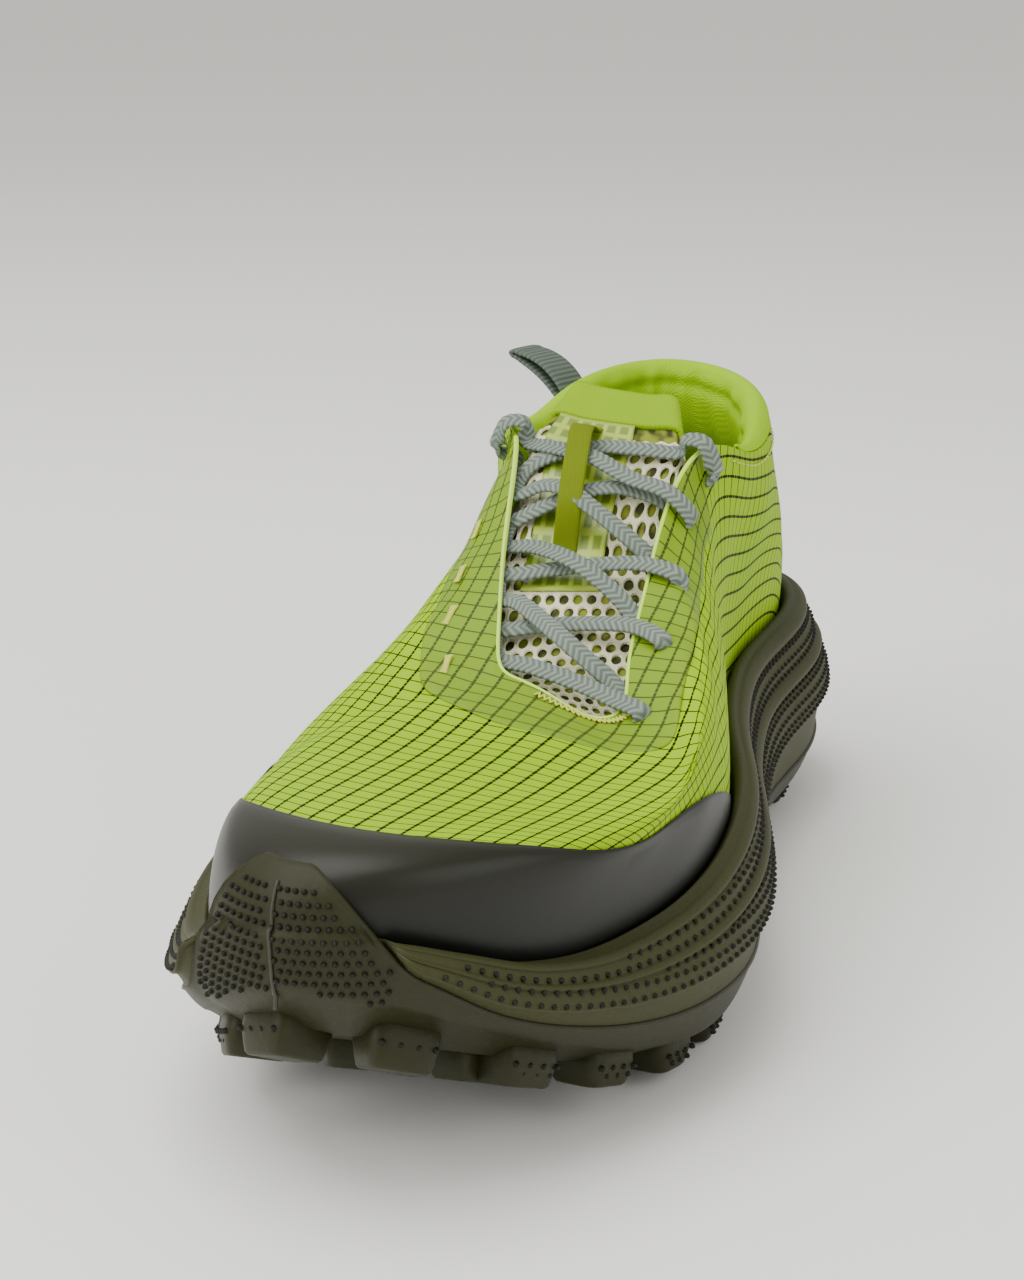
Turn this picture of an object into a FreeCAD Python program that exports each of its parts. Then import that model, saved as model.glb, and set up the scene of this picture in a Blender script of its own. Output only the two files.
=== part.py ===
# A left trail-running shoe, size EU 42.5, as separate pieces.
# Millimetres. Toe towards -Y, outer (lateral) side towards +X, up is +Z.
# The origin is on the ground, under the middle of the whole shoe's box.

import FreeCAD
import Part
import math
import os

Vector = FreeCAD.Vector

# Overall sizes.
shoe_length = 300.0
forefoot_width = 109.5
collar_height = 102.5

# Sole.
lug_depth = 4.5
outsole_floor = 2.5
outsole_wall = 1.8
rim_width = 2.2
board_thickness = 1.5
insole_foam = 4.0
insole_cloth = 0.6
insole_clearance = 0.6

# Upper layers.
bond_gap = 0.1
cup_gap = 0.6
shell_thickness = 0.6
guard_thickness = 0.5
guard_gap = 0.3
film_thickness = 0.3
puff_thickness = 0.8
counter_thickness = 1.5
lining_thickness = 0.7
cover_thickness = 0.6
gusset_thickness = 0.5

# Tongue.
mesh_thickness = 0.8
tongue_foam = 2.6
patch_thickness = 0.3
patch_gap = 0.2
band_thickness = 0.7
keeper_thickness = 0.6
tongue_overhang = 20.0

# Lace, eyelets and pull tab.
lace_diameter = 2.4
eyelet_diameter = 4.6
loop_webbing = 0.35
aglet_wall = 0.35
aglet_length = 14.0
tab_width = 11.0
tab_thickness = 1.5
tab_length = 22.0
tab_clearance = 0.3
tab_stand = 3.2

# The plan and height lines below are drawn for a shoe of these sizes.
drawn_length = 300.0
drawn_width = 109.5
drawn_collar = 102.5
length_scale = shoe_length / drawn_length
width_scale = forefoot_width / drawn_width
collar_scale = collar_height / drawn_collar

# Widest outline of the sole: toe tip, outer side, heel, inner side.
plan_outline = [
    (-14, -150), (8, -143), (27, -124), (40.5, -101), (50.5, -76),
    (54.5, -48), (52, -20), (47, 5), (44, 32), (44.5, 60),
    (48.5, 92), (46, 120), (32, 139), (1, 150), (-28, 139),
    (-41, 118), (-42.5, 90), (-38, 60), (-36, 32), (-39.5, 2),
    (-47, -28), (-54, -58), (-55, -85), (-48, -112), (-34, -138),
]

# Top edge of the upper, one point for each point of the outline:
# throat bottom, outer eyelet flap, collar, inner eyelet flap.
opening_edge = [
    (8, -41.5, 66.8), (17, -45, 64), (23.5, -43.5, 65.5), (22.8, -33, 71),
    (22, -20, 77), (21.7, -7, 83), (22, 7, 92), (25.5, 19, 103),
    (31, 32, 105), (35, 50, 100), (36, 74, 100), (30, 100, 102),
    (17, 121, 102.5), (2, 128, 102.5), (-12, 121, 101.5), (-21, 100, 99.5),
    (-24, 74, 97), (-24.5, 50, 99.5), (-20.5, 35, 106.5), (-15, 25, 106),
    (-12, 6, 93.5), (-9.5, -10, 84), (-6.5, -25, 76), (-3.5, -36, 70.8),
    (1, -39, 68.8),
]

# How the upper leaves the sole (rise, outward) and meets its top edge
# (outward, drop), at some points of the outline.
upper_shape = {
    0: (31, 5.5, 64, 11), 1: (30, 5, 61, 10), 3: (21, 2, 40, 5),
    5: (18, 1, 16, 2), 8: (22, -1, 2, 20), 13: (16, 4, 2, 20),
    18: (20, -1, 1, 18), 21: (18, -2, 14, 3), 23: (22, 2, 42, 6),
    24: (30, 5, 60, 10), 25: (31, 5.5, 64, 11),
}

# Height lines, (y, z) from toe to heel.
ground_line = [(-150, 37), (-135, 28), (-118, 18.5), (-100, 10.5), (-80, 4.3),
               (-60, 0.9), (-45, 0), (90, 0), (110, 1.2), (130, 4.5), (150, 10)]
joint_line = [(-150, 53), (-144, 48), (-130, 35.5), (-111, 26.6), (-91, 21),
              (-67, 17.7), (-40, 15.5), (0, 15), (80, 15), (110, 16),
              (130, 18), (150, 23)]
rim_line = [(-150, 55.5), (-143, 53), (-136, 49.5), (-123, 43.5), (-107, 40),
            (-87, 40), (-68, 42), (-40, 46), (0, 49), (40, 50), (80, 50.5),
            (110, 51), (150, 54)]
floor_line = [(-150, 50), (-135, 44), (-118, 37.5), (-100, 32.5), (-80, 30),
              (-60, 29.5), (-30, 31), (0, 33), (60, 37), (110, 38), (150, 41)]
edge_rise_line = [(-150, 1.5), (-130, 3), (-100, 5.5), (-60, 8), (0, 10),
                  (60, 12), (110, 12), (150, 10)]
rim_inset_line = [(-150, 4.5), (-100, 5), (-40, 5.5), (20, 7), (80, 9),
                  (150, 9)]

turns = 25.0
heel_turn = 13.0
half_sites = 45
rand_centre = 24.85
rand_reach = 1.25
rand_flat = 0.35
rand_peak = 65.0
rand_gap = 1.0
rand_ease = 1.3
wall_start = 1.6


# ---------------------------------------------------------------- curves

def smoothLoop(points):
    """Closed cubic curve through the points, read by point number."""
    count = len(points)
    size = len(points[0])
    slopes = [[0.0] * size for _ in points]
    for _ in range(40):
        slopes = [
            [(3.0 * (points[(i + 1) % count][k] - points[i - 1][k])
              - slopes[i - 1][k] - slopes[(i + 1) % count][k]) / 4.0
             for k in range(size)]
            for i in range(count)
        ]

    def read(t):
        whole = math.floor(t)
        s = t - whole
        i = int(whole) % count
        j = (i + 1) % count
        h0 = 2 * s ** 3 - 3 * s ** 2 + 1
        h1 = s ** 3 - 2 * s ** 2 + s
        h2 = -2 * s ** 3 + 3 * s ** 2
        h3 = s ** 3 - s ** 2
        return [h0 * points[i][k] + h1 * slopes[i][k]
                + h2 * points[j][k] + h3 * slopes[j][k] for k in range(size)]

    return read


def heightLine(knots):
    """Smooth height along the shoe through (y, value) knots."""
    ys = [y * length_scale for y, _ in knots]
    zs = [float(z) for _, z in knots]
    last = len(ys) - 1
    slopes = []
    for i in range(last + 1):
        a = max(i - 1, 0)
        b = min(i + 1, last)
        slopes.append((zs[b] - zs[a]) / (ys[b] - ys[a]))

    def read(y):
        y = min(max(y, ys[0]), ys[-1])
        i = 0
        while i < last - 1 and y > ys[i + 1]:
            i += 1
        h = ys[i + 1] - ys[i]
        s = (y - ys[i]) / h
        return (zs[i] * (2 * s ** 3 - 3 * s ** 2 + 1)
                + slopes[i] * h * (s ** 3 - 2 * s ** 2 + s)
                + zs[i + 1] * (-2 * s ** 3 + 3 * s ** 2)
                + slopes[i + 1] * h * (s ** 3 - s ** 2))

    return read


def ramp(x, start, end):
    """0 before start, 1 past end, smooth between."""
    s = min(max((x - start) / (end - start), 0.0), 1.0)
    return s * s * (3 - 2 * s)


outline = smoothLoop([(x * width_scale, y * length_scale)
                      for x, y in plan_outline])
opening = smoothLoop([(x * width_scale, y * length_scale, z * collar_scale)
                      for x, y, z in opening_edge])
ground = heightLine(ground_line)
joint = heightLine(joint_line)
rim = heightLine(rim_line)
floor = heightLine(floor_line)
edge_rise = heightLine(edge_rise_line)
rim_inset = heightLine(rim_inset_line)


def shapeAt(i):
    """Upper shape values at point i, straight between the given ones."""
    keys = sorted(upper_shape)
    low = max(k for k in keys if k <= i)
    high = min(k for k in keys if k >= i)
    share = 0.0 if high == low else (i - low) / (high - low)
    return [a + (b - a) * share
            for a, b in zip(upper_shape[low], upper_shape[high])]


shape_loop = smoothLoop([shapeAt(i) for i in range(25)])


def outward(t):
    """Unit vector in plan, square to the outline, away from the foot."""
    a = outline(t - 0.01)
    b = outline(t + 0.01)
    dx = b[0] - a[0]
    dy = b[1] - a[1]
    size = math.hypot(dx, dy)
    return dy / size, -dx / size


def inside(t, inset, z=0.0):
    """Point at height z, the inset in from the widest outline."""
    x, y = outline(t)
    nx, ny = outward(t)
    return Vector(x - nx * inset, y - ny * inset, z)


def along(t, inset, line, lift=0.0):
    """Point on a height line, the inset in from the outline."""
    p = inside(t, inset)
    return Vector(p.x, p.y, line(p.y) + lift)


# ---------------------------------------------------------------- surfaces

def cubicBasis(u, count):
    """Values of the clamped cubic basis functions at u."""
    knots = [0] * 3 + list(range(count - 2)) + [count - 3] * 3
    span = min(int(u), count - 4) + 3
    values = [0.0] * (count + 3)
    values[span] = 1.0
    for degree in (1, 2, 3):
        for i in range(span - degree, span + 1):
            left = 0.0
            right = 0.0
            if knots[i + degree] > knots[i]:
                left = (u - knots[i]) / (knots[i + degree] - knots[i])
            if knots[i + degree + 1] > knots[i + 1]:
                right = ((knots[i + degree + 1] - u)
                         / (knots[i + degree + 1] - knots[i + 1]))
            values[i] = left * values[i] + right * values[i + 1]
    return values[:count]


def sites(count):
    """Shares from 0 to 1 at which a net of this many rows is sampled."""
    knots = [0] * 3 + list(range(count - 2)) + [count - 3] * 3
    return [sum(knots[i + 1:i + 4]) / 3.0 / (count - 3)
            for i in range(count)]


inverse_cache = {}


def fitMatrix(count):
    """Turns points at the sites into the poles that pass through them."""
    if count in inverse_cache:
        return inverse_cache[count]
    rows = [cubicBasis(s * (count - 3), count) for s in sites(count)]
    unit = [[1.0 if i == j else 0.0 for j in range(count)]
            for i in range(count)]
    for col in range(count):
        pivot = rows[col][col]
        rows[col] = [a / pivot for a in rows[col]]
        unit[col] = [a / pivot for a in unit[col]]
        for i in range(count):
            factor = rows[i][col]
            if i != col and factor != 0.0:
                rows[i] = [a - factor * b for a, b in zip(rows[i], rows[col])]
                unit[i] = [a - factor * b for a, b in zip(unit[i], unit[col])]
    inverse_cache[count] = unit
    return unit


def curvePoles(points):
    """Poles of the cubic curve through the points."""
    matrix = fitMatrix(len(points))
    poles = []
    for row in matrix:
        x = sum(w * p.x for w, p in zip(row, points))
        y = sum(w * p.y for w, p in zip(row, points))
        z = sum(w * p.z for w, p in zip(row, points))
        poles.append(Vector(x, y, z))
    return poles


def poleFace(net):
    """Face of a net of poles: cubic, or straight with two rows."""
    degree_u = 3 if len(net) > 2 else 1
    degree_v = 3 if len(net[0]) > 2 else 1

    def knotsFor(count, degree):
        inner = count - degree - 1
        mults = [degree + 1] + [1] * inner + [degree + 1]
        return [float(i) for i in range(len(mults))], mults

    knots_u, mults_u = knotsFor(len(net), degree_u)
    knots_v, mults_v = knotsFor(len(net[0]), degree_v)
    surface = Part.BSplineSurface()
    surface.buildFromPolesMultsKnots(
        net, mults_u, mults_v, knots_u, knots_v,
        False, False, degree_u, degree_v)
    return surface.toShape()


def netPoles(point_at, rows, columns):
    """Poles of the surface through point_at(a, b) at the net's sites."""
    grid = [[point_at(a, b) for b in sites(columns)] for a in sites(rows)]
    across = [curvePoles(row) for row in grid]
    turned = [curvePoles(list(col)) for col in zip(*across)]
    return [list(row) for row in zip(*turned)]


def closeUp(faces):
    """Solid bounded by the faces."""
    group = Part.makeCompound(faces)
    group.sewShape(0.001)
    solid = Part.Solid(group.Shells[0])
    if solid.Volume < 0:
        solid.reverse()
    return solid


def sheetSolid(outer, inner, rows, columns):
    """Solid between two surfaces that share the same outline shares."""
    top = netPoles(outer, rows, columns)
    bottom = netPoles(inner, rows, columns)
    sides = [
        [top[0], bottom[0]],
        [top[-1], bottom[-1]],
        [[r[0] for r in top], [r[0] for r in bottom]],
        [[r[-1] for r in top], [r[-1] for r in bottom]],
    ]
    return closeUp([poleFace(net) for net in [top, bottom] + sides])


def halfTurns(half):
    """Start and end of the outer (0) or inner (1) half of the outline."""
    return (0.0, heel_turn) if half == 0 else (heel_turn, turns)


def ringSolid(outer, inner, columns):
    """Closed band round the shoe between outer(t, b) and inner(t, b)."""
    faces = []
    for half in (0, 1):
        start, end = halfTurns(half)
        top = netPoles(lambda a, b: outer(start + (end - start) * a, b),
                       half_sites, columns)
        bottom = netPoles(lambda a, b: inner(start + (end - start) * a, b),
                          half_sites, columns)
        faces.append(poleFace(top))
        faces.append(poleFace(bottom))
        for k in (0, -1):
            faces.append(poleFace([[r[k] for r in top],
                                   [r[k] for r in bottom]]))
    return closeUp(faces)


def loopSolid(loops, first_height, last_height):
    """Solid made of straight strips between closed loops round the shoe.

    The first and the last loop are closed by a floor and a lid whose
    heights follow the given lines.
    """
    faces = []
    for half in (0, 1):
        start, end = halfTurns(half)
        ts = [start + (end - start) * a for a in sites(half_sites)]
        poles = [curvePoles([loop(t) for t in ts]) for loop in loops]
        for low, high in zip(poles, poles[1:]):
            faces.append(poleFace([low, high]))
        faces.append(plateFace(loops[0], first_height, half))
        faces.append(plateFace(loops[-1], last_height, half))
    return closeUp(faces)


def plateFace(loop, height, half):
    """Half of a floor inside a loop, from the loop in to a middle line."""
    start, end = halfTurns(half)
    other_start, other_end = halfTurns(1 - half)
    columns = 9

    def pointAt(a, b):
        near = loop(start + (end - start) * a)
        far = loop(other_end - (other_end - other_start) * a)
        middle = (near + far) * 0.5
        spine = Vector(middle.x * 0.9, middle.y * 0.93, 0)
        x = near.x + (spine.x - near.x) * b
        y = near.y + (spine.y - near.y) * b
        z = near.z if b == 0 else height(y)
        return Vector(x, y, z)

    return poleFace(netPoles(pointAt, half_sites, columns))


# ---------------------------------------------------------------- sole

def randShare(t):
    """1 at the middle of the toe rand, 0 past its ends."""
    away = abs((t - rand_centre + turns / 2) % turns - turns / 2)
    return ramp(away, rand_reach, rand_flat)


def foamGap(t):
    """Room between the foam and the cup, more beside the rand."""
    away = abs((t - rand_centre + turns / 2) % turns - turns / 2)
    return cup_gap + rand_ease * ramp(away, rand_reach + 0.6, rand_reach)


def wallTop(t):
    """Height of the outsole's upper edge, with the rand's peak."""
    y = outline(t)[1]
    return joint(y) + (rand_peak - joint(y)) * randShare(t)


def sole_bottom(y):
    return ground(y) + lug_depth


def sole_top(y):
    return sole_bottom(y) + outsole_floor


def foam_bottom(y):
    return sole_top(y) + bond_gap


def guardInset(t, z):
    """Inset of the toe guard's outer face at height z, above the rim."""
    depth = -guard_thickness - guard_gap
    x, y = outline(t)
    nx, ny = outward(t)
    low = 0.0
    high = 0.6
    for _ in range(18):
        v = (low + high) / 2
        if upperAt(t, v, depth).z < z:
            low = v
        else:
            high = v
    p = upperAt(t, low, depth)
    return (x - p.x) * nx + (y - p.y) * ny


def wallBase(y):
    """Height at which the outsole's floor turns up into its wall."""
    return sole_bottom(y) + wall_start


def cupInset(t, z):
    """Inset of the outsole wall's outer face at height z."""
    y = outline(t)[1]
    low = wallBase(y)
    share = max((z - low) / (wallTop(t) - low), 0.0)
    covered = ramp(randShare(t), 0.0, 0.35)
    inset = 7.5 - 4.9 * share ** 0.6 - 1.9 * covered * (1 - share)
    if z > rim(y) and covered > 0:
        resting = guardInset(t, z) - rand_gap - outsole_wall
        inset += max(resting - inset, 0.0) * covered
    return inset


def outsoleLoops():
    """Loops of the outsole cup, out and up, then in and down again."""
    corner = 13.0

    def wall(share, thickness):
        def point(t):
            low = wallBase(outline(t)[1])
            z = low + (wallTop(t) - low) * share
            return inside(t, cupInset(t, z) + thickness, z)
        return point

    def inner(share):
        def point(t):
            p = wall(share, outsole_wall)(t)
            if share == 0:
                p.z = sole_top(p.y) + 0.8
            return p
        return point

    shares = [0.0, 0.25, 0.5, 0.63, 0.76, 0.88, 1.0]
    outer_loops = [wall(s, 0.0) for s in shares]
    inner_loops = [inner(s) for s in reversed(shares)]
    return ([lambda t: along(t, corner, sole_bottom)] + outer_loops
            + inner_loops + [lambda t: along(t, corner, sole_top)])


def lug(x, y, angle, length, width):
    """Tapered block under the sole, square to it, sunk in its floor."""
    x *= width_scale
    y *= length_scale
    slope = (ground(y + 2) - ground(y - 2)) / 4.0
    root = 1.2
    taper = 1.5

    def ring(half_length, half_width, depth):
        corners = []
        for sx, sy in ((-1, -1), (1, -1), (1, 1), (-1, 1), (-1, -1)):
            px = sx * half_width
            py = sy * half_length
            ca = math.cos(angle)
            sa = math.sin(angle)
            qx = px * ca - py * sa
            qy = px * sa + py * ca
            lean = slope / math.hypot(1, slope)
            z = sole_bottom(y) + qy * slope - depth
            corners.append(Vector(x + qx, y + qy + depth * lean, z))
        return Part.makePolygon(corners)

    top = ring(length / 2, width / 2, -root)
    low = ring(length / 2 - taper, width / 2 - taper, lug_depth)
    return Part.makeLoft([top, low], True, True)


def lugPlaces():
    """Edge lugs along both sides and the toe, and rows in the middle."""
    places = []
    for t in (1.1, 2.2, 3.1, 4.0, 4.9, 5.8, 9.2, 10.1, 11.0, 12.0,
              14.0, 15.0, 15.9, 16.8, 19.9, 20.8, 21.7, 22.6, 23.5, 24.4):
        p = inside(t, 15.5)
        nx, ny = outward(t)
        places.append((p.x / width_scale, p.y / length_scale,
                       math.atan2(ny, nx), 17.0, 12.0))
    for y in (-112, -92, -72, -52, -32, 78, 98):
        places.append((-13, y, 0.4, 13.0, 10.0))
        places.append((9, y, -0.4, 13.0, 10.0))
    places.append((-3, -12, 0.0, 12.0, 14.0))
    places.append((1, 122, 0.0, 12.0, 14.0))
    return places


def makeOutsole():
    cup = loopSolid(outsoleLoops(), sole_bottom, sole_top)
    return cup.fuse([lug(*place) for place in lugPlaces()]).Solids[0]


def stepHeight(t):
    """Height of the step where the foam comes out over the cup."""
    y = outline(t)[1]
    return min(max(joint(y), wallTop(t)), rim(y) - 2.2)


def coveredShare(t):
    """1 where the rand hides the foam's side, 0 where it is bare."""
    return ramp(wallTop(t) - rim(outline(t)[1]), -5.0, -2.3)


def midsoleLoops():
    """Loops of the foam: floor, side inside the cup, step, two bands, rim."""

    def inCup(share):
        def point(t):
            y = outline(t)[1]
            low = wallBase(y)
            z = low + (stepHeight(t) + bond_gap - low) * share
            inset = cupInset(t, z) + outsole_wall + foamGap(t)
            if share == 0:
                z = sole_top(y) + 1.4
            return inside(t, inset, z)
        return point

    def band(share, bare):
        def point(t):
            y = outline(t)[1]
            covered = coveredShare(t)
            step = stepHeight(t)
            edge = step + min(edge_rise(y), (rim(y) - step) * 0.4)
            if share < 0:
                z = step + bond_gap
                inset = 2.7
            else:
                z = edge + (rim(y) - 1.0 - edge) * share
                inset = bare * rim_inset(y)
            hidden = max(cupInset(t, z) + outsole_wall + foamGap(t), inset)
            hidden = min(hidden, rimWall(t) - 0.6)
            return inside(t, inset + (hidden - inset) * covered, z)
        return point

    return [
        lambda t: along(t, 15.2, foam_bottom),
        inCup(0.0), inCup(0.4), inCup(0.75), inCup(1),
        band(-1, 0), band(0.0, 0.0), band(0.25, 0.12), band(0.45, 0.22),
        band(0.6, 0.3), band(0.8, 0.62), band(1.0, 0.95),
        lambda t: along(t, max(rim_inset(outline(t)[1]) + 0.6, 6.8), rim),
        lambda t: along(t, rimWall(t), rim, -0.4),
        lambda t: along(t, rimWall(t) + 0.7, floor),
    ]


def rimWall(t):
    """Inset of the inner side of the midsole's rim."""
    return rim_inset(outline(t)[1]) + 0.6 + rim_width


def makeMidsole():
    return loopSolid(midsoleLoops(), foam_bottom, floor)


def featherInset(t):
    """Inset of the upper's outer face where it leaves the rim."""
    return rimWall(t) + guard_thickness + guard_gap + 3 * bond_gap


def slab(low_lift, high_lift, clear):
    """Flat piece on the shoe's floor between two heights above it."""

    def low_height(y):
        return floor(y) + low_lift

    def high_height(y):
        return floor(y) + high_lift

    return loopSolid(
        [lambda t: along(t, featherInset(t) + clear, low_height),
         lambda t: along(t, featherInset(t) + clear, high_height)],
        low_height, high_height)


# ---------------------------------------------------------------- upper

def upperPoint(t, v):
    """Outer face of the upper: v is 0 at the rim and 1 at the top edge."""
    nx, ny = outward(t)
    n = Vector(nx, ny, 0)
    up = Vector(0, 0, 1)
    foot = inside(t, featherInset(t))
    foot.z = rim(foot.y) - 2.0
    rise, bow, spread, drop = shape_loop(t)
    top = Vector(*opening(t))
    if v < 0:
        low = inside(t, featherInset(t) + 1.5)
        low.z = floor(low.y) + 0.3
        return foot + (low - foot) * (-v)
    p1 = foot + up * rise + n * bow
    p2 = top + n * spread - up * drop
    w = 1 - v
    return (foot * (w * w * w) + p1 * (3 * v * w * w)
            + p2 * (3 * v * v * w) + top * (v * v * v))


def upperAt(t, v, depth):
    """Point the given depth under the upper's outer face."""
    e = 0.01
    base = max(v, 0.02)
    du = upperPoint(t + e, base) - upperPoint(t - e, base)
    dv = upperPoint(t, base + e) - upperPoint(t, base - e)
    normal = du.cross(dv)
    normal.normalize()
    return upperPoint(t, v) - normal * depth


def patch(t_range, v_low, v_high, outer_depth, inner_depth, rows, columns):
    """Sheet on the upper; limits and depths may follow t (and v)."""

    def value(item, *args):
        return item(*args) if callable(item) else item

    def at(a, b, depth):
        t = t_range[0] + (t_range[1] - t_range[0]) * a
        low = value(v_low, t)
        v = low + (value(v_high, t) - low) * b
        return upperAt(t, v, value(depth, t, v) if callable(depth) else depth)

    return sheetSolid(lambda a, b: at(a, b, outer_depth),
                      lambda a, b: at(a, b, inner_depth), rows, columns)


skirt = -0.8


def makeShell():
    def outer(t, b):
        return upperAt(t, skirt + (1 - skirt) * b, 0.0)

    def inner(t, b):
        return upperAt(t, skirt + (1 - skirt) * b, shell_thickness)

    return ringSolid(outer, inner, 17)


def edgeShare(t, distance):
    """Value of v at a distance below the top edge, along the upper."""
    step = 0.04
    v = 1.0
    left = distance
    here = upperPoint(t, v)
    while v > 0.0:
        there = upperPoint(t, v - step)
        size = (there - here).Length
        if size >= left:
            return v - step * left / size
        left -= size
        v -= step
        here = there
    return 0.0


def makeToeGuard():
    middle = 0.3
    reach = 5.0

    def top(t):
        return 0.42 - 0.35 * (abs(t - middle) / reach) ** 3.5

    return patch((middle - reach, middle + reach), -0.5, top,
                 -guard_gap - guard_thickness, -guard_gap, 55, 13)


def makeToePuff():
    return patch((-3.4, 3.6), 0.0, 0.3, shell_thickness + bond_gap,
                 shell_thickness + bond_gap + puff_thickness, 35, 7)


def makeHeelCounter():
    return patch((9.8, 16.2), 0.0, lambda t: edgeShare(t, 28.0),
                 shell_thickness + bond_gap,
                 shell_thickness + bond_gap + counter_thickness, 35, 9)


film_width = 17.0
film_bond = bond_gap + film_thickness


def makeEyestayFilm():
    return patch((-5.9, 7.3), lambda t: edgeShare(t, film_width),
                 lambda t: edgeShare(t, 0.6), -film_bond, -bond_gap, 65, 7)


# ---------------------------------------------------------------- collar

collar_start = 8.7
collar_end = 18.1
collar_low = 24.0

# Sections of the padded collar as (height above the edge, depth).
foam_outer_leg = [(-24, 0.8), (-16, 0.8), (-8, 0.8), (-2, 0.85),
                  (1.4, 1.4), (3.4, 2.3), (4.3, 3.3)]
foam_inner_leg = [(-24, 1.9), (-16, 4.4), (-8, 6.4), (-2, 6.8),
                  (1.4, 6.3), (3.4, 5.2), (4.3, 4.2)]
cover_path = [(0.5, 0.1), (3.0, 0.5), (4.9, 1.9), (5.6, 3.8), (4.8, 5.8),
              (2.2, 7.3), (-2.5, 7.8), (-9, 7.3), (-16.5, 5.3), (-24.5, 2.8)]


def openCurve(points):
    """Smooth open curve through 2D points, read by share 0 to 1."""
    last = len(points) - 1

    def read(s):
        s = min(max(s, 0.0), 1.0) * last
        i = min(int(s), last - 1)
        f = s - i
        p0 = points[max(i - 1, 0)]
        p1 = points[i]
        p2 = points[i + 1]
        p3 = points[min(i + 2, last)]
        return [0.5 * (2 * b + (c - a) * f + (2 * a - 5 * b + 4 * c - d) * f * f
                       + (3 * b - a - 3 * c + d) * f ** 3)
                for a, b, c, d in zip(p0, p1, p2, p3)]

    return read


def collarShare(t):
    """Share of the full padding at t: thin at the collar's two ends."""
    return 0.3 + 0.7 * (ramp(t, collar_start, collar_start + 1.6)
                        * (1 - ramp(t, collar_end - 1.6, collar_end)))


def collarPoint(t, height, depth):
    """Point above or below the top edge and inwards from the face."""
    share = collarShare(t)
    if depth > shell_thickness:
        depth = shell_thickness + (depth - shell_thickness) * share
    if height <= 0:
        return upperAt(t, edgeShare(t, -height), depth)
    speed = (upperPoint(t, 1.0) - upperPoint(t, 0.99)).Length / 0.01
    return upperAt(t, 1 + height * share / speed, depth)


def collarSheet(outer_curve, inner_curve, columns):
    span = collar_end - collar_start
    return sheetSolid(
        lambda a, b: collarPoint(collar_start + span * a, *outer_curve(b)),
        lambda a, b: collarPoint(collar_start + span * a, *inner_curve(b)),
        41, columns)


def makeCollarFoam():
    return collarSheet(openCurve(foam_outer_leg), openCurve(foam_inner_leg), 11)


def makeCollarCover():
    face = openCurve(cover_path)

    def back(s):
        a = face(max(s - 0.01, 0.0))
        b = face(min(s + 0.01, 1.0))
        dh = b[0] - a[0]
        dd = b[1] - a[1]
        size = math.hypot(dh, dd)
        h, d = face(s)
        return [h - dd / size * cover_thickness,
                d + dh / size * cover_thickness]

    return collarSheet(face, back, 17)


def makeHeelLining():
    depth = shell_thickness + 2 * bond_gap + counter_thickness
    return patch((collar_start, collar_end), -0.3,
                 lambda t: edgeShare(t, collar_low + 2.0),
                 depth, depth + lining_thickness, 41, 9)


# ---------------------------------------------------------------- tongue

tongue_depth = 5.2
tongue_crown = 1.2
tongue_first = 0.12
tongue_last = 0.80
wing = 11.0
instep_up = Vector(-0.036, -0.4995, 0.8656)
tongue_rows = {}


def tongueRow(b):
    """Nine points across the tongue's face, inner side first."""
    key = round(b, 5)
    if key in tongue_rows:
        return tongue_rows[key]
    c = min(max((b - tongue_first) / (tongue_last - tongue_first), 0.0), 1.0)
    ahead = max(tongue_first - b, 0.0)
    beyond = max((b - tongue_last) / (1 - tongue_last), 0.0)
    t_out = 1.9 + 5.4 * c
    t_in = -0.7 - 5.4 * c
    edge_in = upperAt(t_in, 1.0, tongue_depth)
    edge_out = upperAt(t_out, 1.0, tongue_depth)
    row = [upperAt(t_in, edgeShare(t_in, wing), tongue_depth),
           upperAt(t_in, edgeShare(t_in, wing / 2), tongue_depth)]
    for k in range(5):
        f = k / 4.0
        crown = tongue_crown - 1.8 * ramp(c, 0.4, 0.75)
        crown *= 1 - (2 * f - 1) ** 2
        row.append(edge_in * (1 - f) + edge_out * f + instep_up * crown)
    row.append(upperAt(t_out, edgeShare(t_out, wing / 2), tongue_depth))
    row.append(upperAt(t_out, edgeShare(t_out, wing), tongue_depth))
    middle = row[4]
    push = Vector(0, tongue_overhang * beyond - 75 * ahead,
                  0.45 * tongue_overhang * beyond - 40 * ahead)
    narrow = 1 - 0.3 * beyond
    row = [Vector(middle.x + (p.x - middle.x) * narrow, p.y, p.z) + push
           for p in row]
    tongue_rows[key] = row
    return row


def tonguePoint(a, b, depth):
    """Point the depth under the tongue's face, a across and b along."""
    def face(a, b):
        return Vector(*openCurve([tuple(p) for p in tongueRow(b)])(a))

    da = face(min(a + 0.01, 1.0), b) - face(max(a - 0.01, 0.0), b)
    db = face(a, min(b + 0.01, 1.0)) - face(a, max(b - 0.01, 0.0))
    normal = da.cross(db)
    normal.normalize()
    return face(a, b) - normal * depth


def tongueSheet(a_range, b_range, outer, inner, rows, columns):
    def at(a, b, depth):
        return tonguePoint(a_range[0] + (a_range[1] - a_range[0]) * a,
                           b_range[0] + (b_range[1] - b_range[0]) * b, depth)

    return sheetSolid(lambda a, b: at(a, b, outer),
                      lambda a, b: at(a, b, inner), rows, columns)


def makeGusset(side):
    """Stretch cloth from the tongue's edge down to the sole."""
    t_range = (3.8, 7.2) if side > 0 else (-5.9, -3.6)
    top_depth = tongue_depth + 0.4
    low_depth = tongue_depth + 0.8

    def depth(extra):
        return lambda t, v: (low_depth + extra + (top_depth - low_depth)
                             * ramp(v, 0.05, edgeShare(t, wing + 3)))

    return patch(t_range, 0.04, lambda t: edgeShare(t, wing + 1.2),
                 depth(0.0), depth(gusset_thickness), 25, 9)


keeper_low = 0.6
keeper_high = 0.85


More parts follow.
